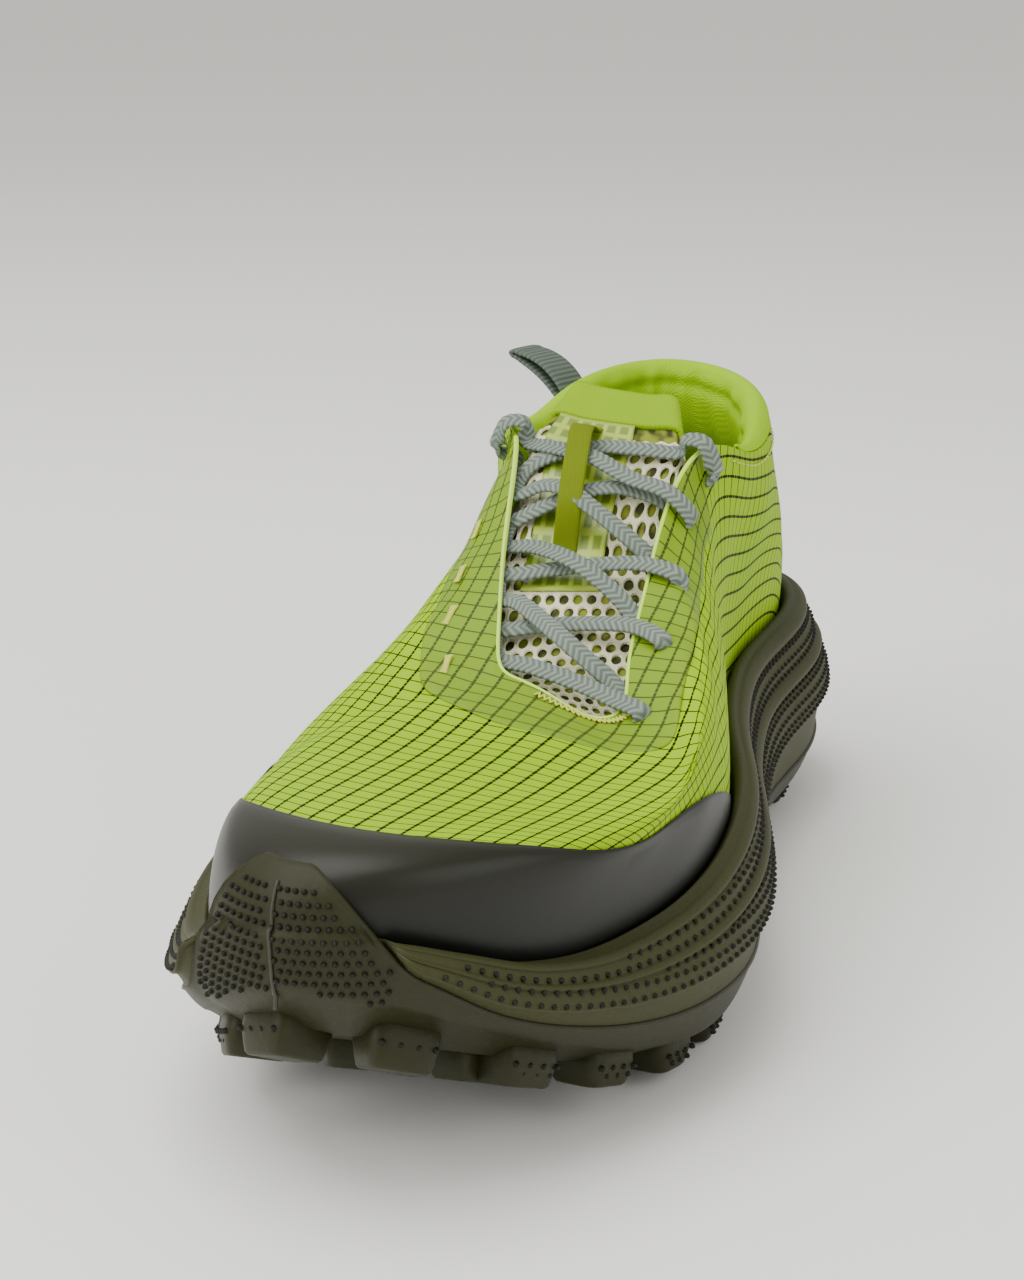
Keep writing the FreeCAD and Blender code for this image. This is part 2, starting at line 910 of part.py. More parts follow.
def makeKeeper():
    """Strap on the tongue, bonded at its two ends and raised between."""
    def lift(b):
        rise = ramp(b, 0.0, 0.3) * (1 - ramp(b, 0.7, 1.0))
        return patch_thickness + 3 * bond_gap + 3.3 * lace_diameter * rise

    def at(a, b, extra):
        along_tongue = keeper_low + (keeper_high - keeper_low) * b
        return tonguePoint(0.385 + 0.075 * a, along_tongue, -lift(b) - extra)

    return sheetSolid(lambda a, b: at(a, b, keeper_thickness),
                      lambda a, b: at(a, b, 0.0), 5, 15)


# ---------------------------------------------------------------- lace

# Route of the lace, from one tucked end to the other.
lace_route = [
    (-22.8, 1.5, 74.5), (-21.5, 7, 81), (-19, 12, 87), (-16.5, 17, 92.5),
    (-16, 28, 100.5), (-19.5, 27, 102), (-18, 26, 108.5), (-13.5, 27, 109),
    (-12.5, 27, 104.5), (-7.5, 23.5, 104.5), (3.5, 18, 104), (13.5, 13.5, 100.5),
    (22.5, 10.5, 98.5), (28, 10.5, 93), (25.5, 13, 90.5), (21.5, 13.5, 95.5),
    (12.5, 14.5, 97.8), (4.5, 13, 97.3), (-3.5, 8.5, 94.6), (-9, 7, 91.8),
    (-12, 6, 89.7), (-11.5, 1, 86.7), (-4, -2, 87.5), (6, -8.5, 86.5),
    (15, -12, 81.5), (21, -15.5, 76.6), (27.5, -25.5, 72.5), (28.5, -27.5, 76),
    (21, -23, 77.3), (7.5, -20.5, 76), (-2.5, -23, 75), (-7.5, -23.5, 73.6),
    (-5.5, -31, 70.6), (2.5, -34.5, 70.5), (13, -38.5, 69), (21.5, -43, 67.5),
    (28, -47, 66.5), (27, -45, 62.5), (20.5, -35, 67.5), (15, -33, 71.5),
    (7.5, -29.5, 76), (-3.5, -18.5, 79.3), (-9, -14.5, 78.6), (-10.5, -8.5, 81.6),
    (-5.5, -8, 83), (4, -4.5, 84), (18.5, -5, 86), (28, -7, 84.5),
    (27, -6, 80), (21, 2, 85), (13.5, 4.5, 90.5), (6.5, 6.5, 95),
    (1, 8.5, 98), (-5, 11, 98.3), (-12, 13, 95.2), (-12.5, 18, 97.7),
    (-8, 20.5, 101.9), (2.5, 24, 104.6), (14, 23, 105), (22.5, 23, 104.6),
    (24, 23, 107.5), (28.8, 21.5, 107), (31, 22, 99.5), (27, 23.5, 98),
    (26.5, 15, 91), (29.5, 9.5, 84), (32, 5, 77.5), (32.8, 0, 70.5),
]
outer_eyelets = [(28, 10.5, 93), (28.5, -27.5, 76), (28, -47, 66.5),
                 (28, -7, 84.5), (31, 22, 99.5)]
inner_eyelet = (-19.5, 27, 102)
webbing_loops = [(-7.5, -23.5, 73.6), (-9, -14.5, 78.6), (-12, 6, 89.7),
                 (-12, 13, 95.2)]


def cordPath(route):
    """Wire of straight runs joined by arcs, and its length and radii."""
    points = [Vector(*p) for p in route]
    edges = []
    radii = []
    start = points[0]
    for i in range(1, len(points) - 1):
        before = points[i] - points[i - 1]
        after = points[i + 1] - points[i]
        turn = before.getAngle(after)
        cut = 0.45 * min(before.Length, after.Length)
        radius = cut / math.tan(turn / 2)
        radii.append(radius)
        before.normalize()
        after.normalize()
        enter = points[i] - before * cut
        leave = points[i] + after * cut
        bisector = (after - before)
        bisector.normalize()
        middle = points[i] + bisector * (radius / math.cos(turn / 2) - radius)
        edges.append(Part.LineSegment(start, enter).toShape())
        edges.append(Part.Arc(enter, middle, leave).toShape())
        start = leave
    edges.append(Part.LineSegment(start, points[-1]).toShape())
    wire = Part.Wire(edges)
    return wire, wire.Length, radii


def tube(wire, start, direction, diameter):
    circle = Part.Wire([Part.Circle(start, direction, diameter / 2).toShape()])
    shell = wire.makePipeShell([circle], True, False)
    return shell


def makeLace():
    wire, length, radii = cordPath(lace_route)
    start = Vector(*lace_route[0])
    solid = tube(wire, start, Vector(*lace_route[1]) - start, lace_diameter)
    share = solid.Volume / (math.pi * lace_diameter ** 2 / 4 * length)
    print("lace length", round(length, 1), "volume share", round(share, 4))
    print("lace radii", [round(r, 1) for r in radii])
    return solid


def makeAglets():
    """Two sleeves that close the lace's tucked ends."""
    sleeves = []
    for end, near in ((lace_route[0], lace_route[1]),
                      (lace_route[-1], lace_route[-2])):
        tip = Vector(*end)
        away = tip - Vector(*near)
        away.normalize()
        start = tip + away * bond_gap
        sleeves.append(Part.makeCylinder(lace_diameter / 2 + aglet_wall,
                                         aglet_length / 2, start, away))
    return Part.makeCompound(sleeves)


def faceNormal(t, v):
    n = upperAt(t, v, -1.0) - upperAt(t, v, 0.0)
    n.normalize()
    return n


def eyeletCutters():
    """Pins that cut the eyelets where the lace dives through the flaps."""
    pins = []
    for place in outer_eyelets + [inner_eyelet]:
        outside = Vector(*place)
        index = lace_route.index(place)
        before = Vector(*lace_route[index - 1])
        after = Vector(*lace_route[index + 1])
        inward = min((before, after), key=lambda p: (p - outside).Length)
        axis = inward - outside
        axis.normalize()
        pins.append(Part.makeCylinder(eyelet_diameter / 2, 7.0,
                                      outside - axis * 1.5, axis))
    return pins


def makeLaceLoops():
    """Webbing loops under the inner flap that hold the lace's turns."""
    loops = []
    bore = lace_diameter / 2 + 0.25
    length = 2.4
    for place in webbing_loops:
        start = Vector(*place)
        end = Vector(*lace_route[lace_route.index(place) + 1])
        axis = end - start
        axis.normalize()
        low = (start + end) * 0.5 - axis * (length / 2)
        sleeve = Part.makeCylinder(bore + loop_webbing, length, low, axis)
        loops.append(sleeve.cut(Part.makeCylinder(bore, length, low, axis)))
    return Part.makeCompound(loops)


def blockOn(t, distance, length, width, thickness, lift):
    """Thin block on the upper's face, its length along the edge."""
    v = edgeShare(t, distance)
    n = faceNormal(t, v)
    run = upperPoint(t + 0.05, v) - upperPoint(t - 0.05, v)
    run = run - n * run.dot(n)
    run.normalize()
    side = n.cross(run)
    low = upperPoint(t, v) + n * lift
    corners = [low + run * (length / 2 * a) + side * (width / 2 * b)
               for a, b in ((-1, -1), (1, -1), (1, 1), (-1, 1), (-1, -1))]
    return Part.Face(Part.makePolygon(corners)).extrude(n * thickness)


def makeBarTacks():
    tacks = [blockOn(t, 12.0, 6.0, 1.6, 0.5, film_bond + 0.3)
             for t in (-2.3, -3.4, -4.35, -5.2)]
    return Part.makeCompound(tacks)


def makeThroatStitch():
    return patch((0.3, 1.9), lambda t: edgeShare(t, 3.6),
                 lambda t: edgeShare(t, 1.4), -film_bond - 0.5,
                 -film_bond - bond_gap, 15, 5)


# ---------------------------------------------------------------- pull tab

tab_turn = 14.4
tab_lean = 33.0


def tabFrame():
    """Root point and directions of the pull tab: out, along, up."""
    v = edgeShare(tab_turn, 4.0)
    n = faceNormal(tab_turn, v)
    n.z = 0
    n.normalize()
    root = upperPoint(tab_turn, v) + n * (tab_clearance + tab_stand)
    up = Vector(0, 0, 1)
    return root, n, up.cross(n), up


def makePullTab():
    """Folded webbing loop that arches out from its sewn root."""
    root, n, side, up = tabFrame()
    lean = math.radians(tab_lean)
    layers = []
    count = 13
    for sign in (1, -1):
        line = []
        for i in range(count):
            s = i / (count - 1.0)
            gap = 0.35 + 0.9 * math.sin(math.pi * min(s * 1.15, 1.0)) ** 0.6
            reach = tab_length * s
            arch = 2.2 * math.sin(math.pi * s)
            u = reach * math.cos(lean) - (arch + sign * gap) * math.sin(lean)
            w = reach * math.sin(lean) + (arch + sign * gap) * math.cos(lean)
            line.append((u, w))
        layers.append(line)
    upper_line, lower_line = layers

    def offset(line, amount):
        moved = []
        for i, (u, w) in enumerate(line):
            a = line[max(i - 1, 0)]
            b = line[min(i + 1, len(line) - 1)]
            size = math.hypot(b[0] - a[0], b[1] - a[1])
            moved.append((u - (b[1] - a[1]) / size * amount,
                          w + (b[0] - a[0]) / size * amount))
        return moved

    top = offset(upper_line, tab_thickness)
    low = offset(lower_line, -tab_thickness)
    tip_u = root_cap(top[-1], low[-1], math.cos(lean), math.sin(lean), 1.2)
    outline_points = top + tip_u + low[::-1] + [top[0]]
    slit = upper_line[1:-1] + lower_line[1:-1][::-1] + [upper_line[1]]

    def face(points):
        corners = [root + n * u + up * w - side * (tab_width / 2)
                   for u, w in points]
        return Part.Face(Part.makePolygon(corners))

    body = face(outline_points).extrude(side * tab_width)
    return body.cut(face(slit).extrude(side * tab_width)).Solids[0]


def root_cap(a, b, du, dw, bulge):
    """Rounded end between two points, pushed out by the bulge."""
    third = [(a[0] + (b[0] - a[0]) * f + du * bulge,
              a[1] + (b[1] - a[1]) * f + dw * bulge) for f in (0.25, 0.75)]
    return third


def makeHeelPatch():
    """Webbing patch sewn to the heel under the pull tab's root."""
    return patch((tab_turn - 0.32, tab_turn + 0.32),
                 lambda t: edgeShare(t, 15.0), lambda t: edgeShare(t, 0.8),
                 -bond_gap - 1.0, -bond_gap, 7, 9)


# ---------------------------------------------------------------- insole

def insoleInset(t):
    """Inset of the insole, clear of the lining at the back."""
    y = outline(t)[1]
    lined = ramp(y, -5.0, 40.0)
    front = shell_thickness + puff_thickness + insole_clearance + 1.5
    back = shell_thickness + counter_thickness + lining_thickness + 2.4
    return featherInset(t) + front + (back - front) * lined


def insoleLayer(low_lift, high_lift):
    def low_height(y):
        return floor(y) + low_lift

    def high_height(y):
        return floor(y) + high_lift

    return loopSolid([lambda t: along(t, insoleInset(t), low_height),
                      lambda t: along(t, insoleInset(t), high_height)],
                     low_height, high_height)


nodes = {}


def main():
    pins = eyeletCutters()
    nodes["outsole"] = makeOutsole()
    nodes["midsole"] = makeMidsole()
    nodes["strobel_board"] = slab(bond_gap, bond_gap + board_thickness, 2.6)
    insole_low = bond_gap + board_thickness + 0.3
    nodes["sockliner_foam"] = insoleLayer(insole_low, insole_low + insole_foam)
    cloth_low = insole_low + insole_foam + bond_gap
    nodes["sockliner_cloth"] = insoleLayer(cloth_low, cloth_low + insole_cloth)
    nodes["upper_shell"] = makeShell().cut(pins).Solids[0]
    nodes["toe_guard"] = makeToeGuard()
    nodes["toe_puff"] = makeToePuff()
    nodes["heel_counter"] = makeHeelCounter()
    nodes["eyestay_film"] = makeEyestayFilm().cut(pins).Solids[0]
    nodes["collar_foam"] = makeCollarFoam()
    nodes["collar_cover"] = makeCollarCover()
    nodes["heel_lining"] = makeHeelLining()
    nodes["tongue_mesh"] = tongueSheet((0.12, 0.88), (0.02, 0.9), 0,
                                       mesh_thickness, 11, 15)
    nodes["tongue_padding"] = tongueSheet(
        (0.0, 1.0), (0.0, 0.97), mesh_thickness + 0.25,
        mesh_thickness + 0.25 + tongue_foam, 13, 17)
    nodes["tongue_patch"] = tongueSheet(
        (0.29, 0.58), (0.52, 0.88), -patch_gap - patch_thickness, -patch_gap,
        13, 15)
    nodes["tongue_top_band"] = tongueSheet((0.1, 0.9), (0.91, 1.0), -0.2,
                                           -0.2 + band_thickness, 11, 5)
    nodes["lace_keeper"] = makeKeeper()
    nodes["gusset_lateral"] = makeGusset(1)
    nodes["gusset_medial"] = makeGusset(-1)
    nodes["lace"] = makeLace()
    nodes["aglets"] = makeAglets()
    nodes["lace_loops"] = makeLaceLoops()
    nodes["bar_tacks"] = makeBarTacks()
    nodes["throat_stitch"] = makeThroatStitch()
    nodes["pull_tab"] = makePullTab()
    nodes["heel_patch"] = makeHeelPatch()
    box = Part.makeCompound(list(nodes.values())).optimalBoundingBox()
    shift = Vector(-box.Center.x, -box.Center.y, -box.ZMin)
    print("shift", shift, "size", box.XLength, box.YLength, box.ZLength)
    os.makedirs("parts", exist_ok=True)
    for name, shape in nodes.items():
        shape.translate(shift)
        print(name, shape.ShapeType, shape.isValid(), round(shape.Volume))
        shape.exportStep("parts/%s.step" % name)


main()
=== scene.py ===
import math
import bpy
import numpy as np
from mathutils import Matrix


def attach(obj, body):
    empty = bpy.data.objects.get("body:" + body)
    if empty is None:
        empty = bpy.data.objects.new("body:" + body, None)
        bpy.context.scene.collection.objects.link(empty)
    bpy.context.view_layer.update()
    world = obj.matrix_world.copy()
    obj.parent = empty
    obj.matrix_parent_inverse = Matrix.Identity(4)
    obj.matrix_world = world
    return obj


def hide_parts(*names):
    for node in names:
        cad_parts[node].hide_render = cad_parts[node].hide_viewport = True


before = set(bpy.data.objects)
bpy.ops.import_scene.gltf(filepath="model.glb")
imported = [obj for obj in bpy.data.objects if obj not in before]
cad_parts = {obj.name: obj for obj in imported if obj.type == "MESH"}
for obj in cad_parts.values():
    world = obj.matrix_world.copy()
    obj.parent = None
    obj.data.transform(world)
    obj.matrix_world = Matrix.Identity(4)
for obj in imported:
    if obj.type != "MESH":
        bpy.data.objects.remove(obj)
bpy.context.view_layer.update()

print("frame loaded:", len(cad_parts), "nodes")

# Everything below is worked out in millimetres, in the shoe last's own place;
# toFrame moves it to the frame's origin and to metres.
placeShift = np.array([0.514, -1.605, 0.202])

# The last, the height lines and the upper's section, as in the CAD source.
last = {
    "outline": [
        (-14, -150), (8, -143), (27, -124), (40.5, -101), (50.5, -76),
        (54.5, -48), (52, -20), (47, 5), (44, 32), (44.5, 60),
        (48.5, 92), (46, 120), (32, 139), (1, 150), (-28, 139),
        (-41, 118), (-42.5, 90), (-38, 60), (-36, 32), (-39.5, 2),
        (-47, -28), (-54, -58), (-55, -85), (-48, -112), (-34, -138)],
    "opening": [
        (8, -41.5, 66.8), (17, -45, 64), (23.5, -43.5, 65.5),
        (22.8, -33, 71), (22, -20, 77), (21.7, -7, 83), (22, 7, 92),
        (25.5, 19, 103), (31, 32, 105), (35, 50, 100), (36, 74, 100),
        (30, 100, 102), (17, 121, 102.5), (2, 128, 102.5),
        (-12, 121, 101.5), (-21, 100, 99.5), (-24, 74, 97),
        (-24.5, 50, 99.5), (-20.5, 35, 106.5), (-15, 25, 106),
        (-12, 6, 93.5), (-9.5, -10, 84), (-6.5, -25, 76),
        (-3.5, -36, 70.8), (1, -39, 68.8)],
    "section": {
        0: (31, 5.5, 64, 11), 1: (30, 5, 61, 10), 3: (21, 2, 40, 5),
        5: (18, 1, 16, 2), 8: (22, -1, 2, 20), 13: (16, 4, 2, 20),
        18: (20, -1, 1, 18), 21: (18, -2, 14, 3), 23: (22, 2, 42, 6),
        24: (30, 5, 60, 10), 25: (31, 5.5, 64, 11)},
    "ground": [(-150, 37), (-135, 28), (-118, 18.5), (-100, 10.5), (-80, 4.3),
               (-60, 0.9), (-45, 0), (90, 0), (110, 1.2), (130, 4.5),
               (150, 10)],
    "joint": [(-150, 53), (-144, 48), (-130, 35.5), (-111, 26.6), (-91, 21),
              (-67, 17.7), (-40, 15.5), (0, 15), (80, 15), (110, 16),
              (130, 18), (150, 23)],
    "rim": [(-150, 55.5), (-143, 53), (-136, 49.5), (-123, 43.5), (-107, 40),
            (-87, 40), (-68, 42), (-40, 46), (0, 49), (40, 50), (80, 50.5),
            (110, 51), (150, 54)],
    "floor": [(-150, 50), (-135, 44), (-118, 37.5), (-100, 32.5), (-80, 30),
              (-60, 29.5), (-30, 31), (0, 33), (60, 37), (110, 38),
              (150, 41)],
    "edgeRise": [(-150, 1.5), (-130, 3), (-100, 5.5), (-60, 8), (0, 10),
                 (60, 12), (110, 12), (150, 10)],
    "rimInset": [(-150, 4.5), (-100, 5), (-40, 5.5), (20, 7), (80, 9),
                 (150, 9)],
    "turns": 25.0,
}


def toFrame(p):
    # (p + shift) / 1000
    return (np.asarray(p, float) + placeShift) * 0.001


def ramp(x, start, end):
    # s^2 (3 - 2 s), with s the share of the way from start to end
    s = np.clip((np.asarray(x, float) - start) / (end - start), 0.0, 1.0)
    return s * s * (3 - 2 * s)


def unit(v):
    # v divided by its length
    return v / np.maximum(np.linalg.norm(v, axis=-1, keepdims=True), 1e-12)


def closedCurve(points):
    # closed cubic through the points; slopes m solve
    # m[i-1] + 4 m[i] + m[i+1] = 3 (p[i+1] - p[i-1])
    p = np.asarray(points, float)
    n = len(p)
    eye = np.eye(n)
    system = 4 * eye + np.roll(eye, 1, 0) + np.roll(eye, -1, 0)
    m = np.linalg.solve(system, 3 * (np.roll(p, -1, 0) - np.roll(p, 1, 0)))

    def read(t):
        # Hermite cubic on the span that holds t
        t = np.asarray(t, float)
        i = np.floor(t).astype(int)
        s = (t - i)[..., None]
        i = i % n
        j = (i + 1) % n
        return ((2 * s ** 3 - 3 * s ** 2 + 1) * p[i]
                + (s ** 3 - 2 * s ** 2 + s) * m[i]
                + (3 * s ** 2 - 2 * s ** 3) * p[j] + (s ** 3 - s ** 2) * m[j])
    return read


def heightCurve(knots):
    # Hermite cubic between knots, slope at a knot from its two neighbours
    y, z = np.array(knots, float).T
    m = np.empty_like(z)
    m[1:-1] = (z[2:] - z[:-2]) / (y[2:] - y[:-2])
    m[0] = (z[1] - z[0]) / (y[1] - y[0])
    m[-1] = (z[-1] - z[-2]) / (y[-1] - y[-2])

    def read(q):
        # Hermite cubic on the span that holds q
        q = np.clip(q, y[0], y[-1])
        i = np.clip(np.searchsorted(y, q, side="right") - 1, 0, len(y) - 2)
        h = y[i + 1] - y[i]
        s = (q - y[i]) / h
        return (z[i] * (2 * s ** 3 - 3 * s ** 2 + 1)
                + m[i] * h * (s ** 3 - 2 * s ** 2 + s)
                + z[i + 1] * (3 * s ** 2 - 2 * s ** 3)
                + m[i + 1] * h * (s ** 3 - s ** 2))
    return read


def openCurve(points, s):
    # Catmull-Rom along axis 0 of points, read at shares s of its length
    p = np.asarray(points, float)
    n = len(p) - 1
    s = np.clip(np.asarray(s, float), 0, 1) * n
    i = np.minimum(s.astype(int), n - 1)
    f = (s - i).reshape(s.shape + (1,) * (p.ndim - 1))
    a, b, c, d = (p[np.clip(i + k, 0, n)] for k in (-1, 0, 1, 2))
    return 0.5 * (2 * b + (c - a) * f + (2 * a - 5 * b + 4 * c - d) * f * f
                  + (3 * b - a - 3 * c + d) * f ** 3)


outline = closedCurve(last["outline"])
opening = closedCurve(last["opening"])
ground, joint, rim, floorLine, edgeRise, rimInset = (
    heightCurve(last[k])
    for k in ("ground", "joint", "rim", "floor", "edgeRise", "rimInset"))
sectionKeys = sorted(last["section"])
sectionCurve = closedCurve(np.stack([
    np.interp(np.arange(25), sectionKeys,
              [last["section"][k][c] for k in sectionKeys])
    for c in range(4)], axis=1))


def outward(t):
    # unit normal of the outline in plan: (dy, -dx) / length
    d = outline(t + 0.01) - outline(t - 0.01)
    d = unit(d)
    return np.stack([d[..., 1], -d[..., 0], np.zeros(d.shape[:-1])], -1)


def insetPoint(t, inset, z):
    # outline(t) - outward * inset, at height z
    t = np.asarray(t, float)
    xy = outline(t)
    n = outward(t)
    inset = np.broadcast_to(inset, t.shape)
    z = np.broadcast_to(z, t.shape)
    return np.stack([xy[..., 0] - n[..., 0] * inset,
                     xy[..., 1] - n[..., 1] * inset, z], -1)


def insetOn(t, inset, line, lift=0.0):
    # the same point, its height read from a height line at its own y
    p = insetPoint(t, inset, 0.0)
    p[..., 2] = line(p[..., 1]) + lift
    return p


def rimWall(t):
    # inset of the inner side of the foam's rim
    return rimInset(outline(t)[..., 1]) + 2.8


def upperPoint(t, v):
    # Bezier from the rim (v = 0) to the top edge (v = 1), skirt for v < 0
    t, v = np.broadcast_arrays(np.asarray(t, float), np.asarray(v, float))
    n = outward(t)
    up = np.array([0.0, 0.0, 1.0])
    feather = rimWall(t) + 1.1
    foot = insetOn(t, feather, rim, -2.0)
    rise, bow, spread, drop = (sectionCurve(t)[..., k, None] for k in range(4))
    top = opening(t)
    low = insetOn(t, feather + 1.5, floorLine, 0.3)
    v = v[..., None]
    w = 1 - v
    p1 = foot + up * rise + n * bow
    p2 = top + n * spread - up * drop
    curve = foot * w ** 3 + p1 * 3 * v * w * w + p2 * 3 * v * v * w + top * v ** 3
    return np.where(v < 0, foot + (low - foot) * (-v), curve)


def upperNormal(t, v):
    # cross product of the surface's two small steps
    v = np.maximum(v, 0.02)
    e = 0.01
    du = upperPoint(t + e, v) - upperPoint(t - e, v)
    dv = upperPoint(t, v + e) - upperPoint(t, v - e)
    return unit(np.cross(du, dv))


def upperAt(t, v, depth):
    # surface point moved inwards along its normal by the depth
    t, v = np.broadcast_arrays(np.asarray(t, float), np.asarray(v, float))
    depth = np.broadcast_to(depth, t.shape)
    return upperPoint(t, v) - upperNormal(t, v) * depth[..., None]


def edgeShare(t, distance):
    # v at a distance below the top edge, measured along the surface
    t = np.asarray(t, float)
    shape = t.shape
    t = t.ravel()
    distance = np.broadcast_to(distance, shape).ravel()
    v = np.linspace(1, 0, 61)
    p = upperPoint(t[:, None], v[None, :])
    run = np.linalg.norm(np.diff(p, axis=1), axis=-1)
    run = np.concatenate([np.zeros((len(t), 1)), np.cumsum(run, 1)], 1)
    i = np.clip((run < distance[:, None]).sum(1) - 1, 0, 59)
    row = np.arange(len(t))
    part = (distance - run[row, i]) / np.maximum(run[row, i + 1] - run[row, i], 1e-9)
    return (v[i] + (v[i + 1] - v[i]) * np.clip(part, 0, 1)).reshape(shape)


def clothUv(t, v):
    # cloth laid flat: plan position + direction away from the throat
    # * (length down the section - its outward travel in plan)
    t, v = np.broadcast_arrays(np.asarray(t, float), np.asarray(v, float))
    share = np.linspace(1, -0.3, 66)
    section = upperPoint(t[:, :1], share[None, :])
    step = np.diff(section, axis=1)
    spread = (step[..., :2] * outward(t[:, :1])[..., :2]).sum(-1)
    extra = np.linalg.norm(step, axis=-1) - spread
    extra = np.concatenate([np.zeros((len(t), 1)), np.cumsum(extra, 1)], 1)
    k = (1 - v) / (1.3 / 65)
    i = np.clip(k.astype(int), 0, 64)
    row = np.arange(len(t))[:, None]
    added = extra[row, i] + (extra[row, i + 1] - extra[row, i]) * (k - i)
    p = upperPoint(t, v)[..., :2]
    x, y = p[..., 0] - 1.0, p[..., 1]
    away = unit(np.stack([x, np.minimum(y + 45, 0) + np.maximum(y - 105, 0)], -1))
    return p + away * added[..., None]


def gridFaces(nu, nv, wrapU, wrapV):
    # quads (i, j) (i+1, j) (i+1, j+1) (i, j+1)
    i, j = np.meshgrid(np.arange(nu if wrapU else nu - 1),
                       np.arange(nv if wrapV else nv - 1), indexing="ij")
    i2, j2 = (i + 1) % nu, (j + 1) % nv
    quad = np.stack([i * nv + j, i2 * nv + j, i2 * nv + j2, i * nv + j2], -1)
    return quad.reshape(-1, 4), (i, j)


def finishMesh(name, points, faces, cornerUv=None, smooth=True):
    # points in millimetres, faces as rows of four (or three) numbers
    mesh = bpy.data.meshes.new(name)
    flat = toFrame(points).reshape(-1, 3)
    sides = faces.shape[1]
    mesh.vertices.add(len(flat))
    mesh.vertices.foreach_set("co", flat.ravel())
    mesh.loops.add(faces.size)
    mesh.loops.foreach_set("vertex_index", faces.ravel().astype(np.int32))
    mesh.polygons.add(len(faces))
    mesh.polygons.foreach_set("loop_start", np.arange(0, faces.size, sides, dtype=np.int32))
    mesh.polygons.foreach_set("loop_total", np.full(len(faces), sides, np.int32))
    mesh.polygons.foreach_set("use_smooth", np.full(len(faces), smooth))
    if cornerUv is not None:
        layer = mesh.uv_layers.new(name="UVMap")
        layer.data.foreach_set("uv", np.asarray(cornerUv, np.float32).ravel())
    mesh.update()
    mesh.validate()
    piece = bpy.data.objects.new(name, mesh)
    bpy.context.scene.collection.objects.link(piece)
    return piece


def gridPiece(name, grid, uv, wrapU=False, wrapV=False):
    # one surface from an array of points; uv may be one longer where wrapped
    nu, nv = grid.shape[:2]
    faces, (i, j) = gridFaces(nu, nv, wrapU, wrapV)
    corners = np.stack([uv[i, j], uv[i + 1, j], uv[i + 1, j + 1], uv[i, j + 1]], -2)
    return finishMesh(name, grid, faces, corners.reshape(-1, 2))


def shellPiece(name, outer, inner, uv, wrapU=False):
    # closed sheet: outer rows, then inner rows backwards, and two end caps
    grid = np.concatenate([outer, inner[:, ::-1]], 1)
    both = np.concatenate([uv, uv[:, ::-1], uv[:, :1]], 1)
    nu, nv = grid.shape[:2]
    faces, (i, j) = gridFaces(nu, nv, wrapU, True)
    if wrapU:
        both = np.concatenate([both, both[:1]], 0)
    corners = np.stack([both[i, j], both[i + 1, j],
                        both[i + 1, j + 1], both[i, j + 1]], -2).reshape(-1, 4, 2)
    if not wrapU:
        half = outer.shape[1]
        k = np.arange(half - 1)
        for row, turn in ((0, 1), (nu - 1, -1)):
            cap = np.stack([row * nv + k, row * nv + k + 1,
                            row * nv + nv - 2 - k, row * nv + nv - 1 - k], -1)
            cap = cap[:, ::-1] if turn < 0 else cap
            faces = np.concatenate([faces, cap])
            corners = np.concatenate([corners, np.repeat(uv[row, k][:, None], 4, 1)])
    return finishMesh(name, grid, faces, corners.reshape(-1, 2))


def scatterPiece(name, place, normal, radius, height, sides=6):
    # small rounded studs: rings of radius r, 0.8 r, 0.35 r at 0, 0.6 h, h
    place, normal = place.reshape(-1, 3), unit(normal.reshape(-1, 3))
    n = len(place)
    radius = np.broadcast_to(radius, (n,))
    height = np.broadcast_to(height, (n,))
    helper = np.where(np.abs(normal[:, 2:]) < 0.9, [[0, 0, 1.0]], [[1.0, 0, 0]])
    e1 = unit(np.cross(helper, normal))
    e2 = np.cross(normal, e1)
    angle = np.arange(sides) * 2 * np.pi / sides
    rings = [(1.0, -0.25), (0.86, 0.55), (0.4, 1.0)]
    points = np.stack([
        place[:, None] + (e1[:, None] * np.cos(angle)[None, :, None]
                          + e2[:, None] * np.sin(angle)[None, :, None])
        * (radius * r)[:, None, None] + (normal * (height * h)[:, None])[:, None]
        for r, h in rings], 1)
    tip = place + normal * (height * 1.06)[:, None]
    points = np.concatenate([points.reshape(n, -1, 3), tip[:, None]], 1)
    k = np.arange(sides)
    k2 = (k + 1) % sides
    low = np.stack([k, k2, k2 + sides, k + sides], -1)
    high = low + sides
    cap = np.stack([k + 2 * sides, k2 + 2 * sides,
                    np.full(sides, 3 * sides), np.full(sides, 3 * sides)], -1)
    quads = np.concatenate([low, high])
    count = 3 * sides + 1
    offset = (np.arange(n) * count)[:, None, None]
    quadFaces = (quads[None] + offset).reshape(-1, 4)
    triFaces = (cap[None, :, :3] + offset).reshape(-1, 3)
    mesh = bpy.data.meshes.new(name)
    flat = toFrame(points).reshape(-1, 3)
    mesh.from_pydata(flat.tolist(), [], quadFaces.tolist() + triFaces.tolist())
    mesh.polygons.foreach_set("use_smooth", np.full(len(mesh.polygons), True))
    mesh.update()
    piece = bpy.data.objects.new(name, mesh)
    bpy.context.scene.collection.objects.link(piece)
    return piece


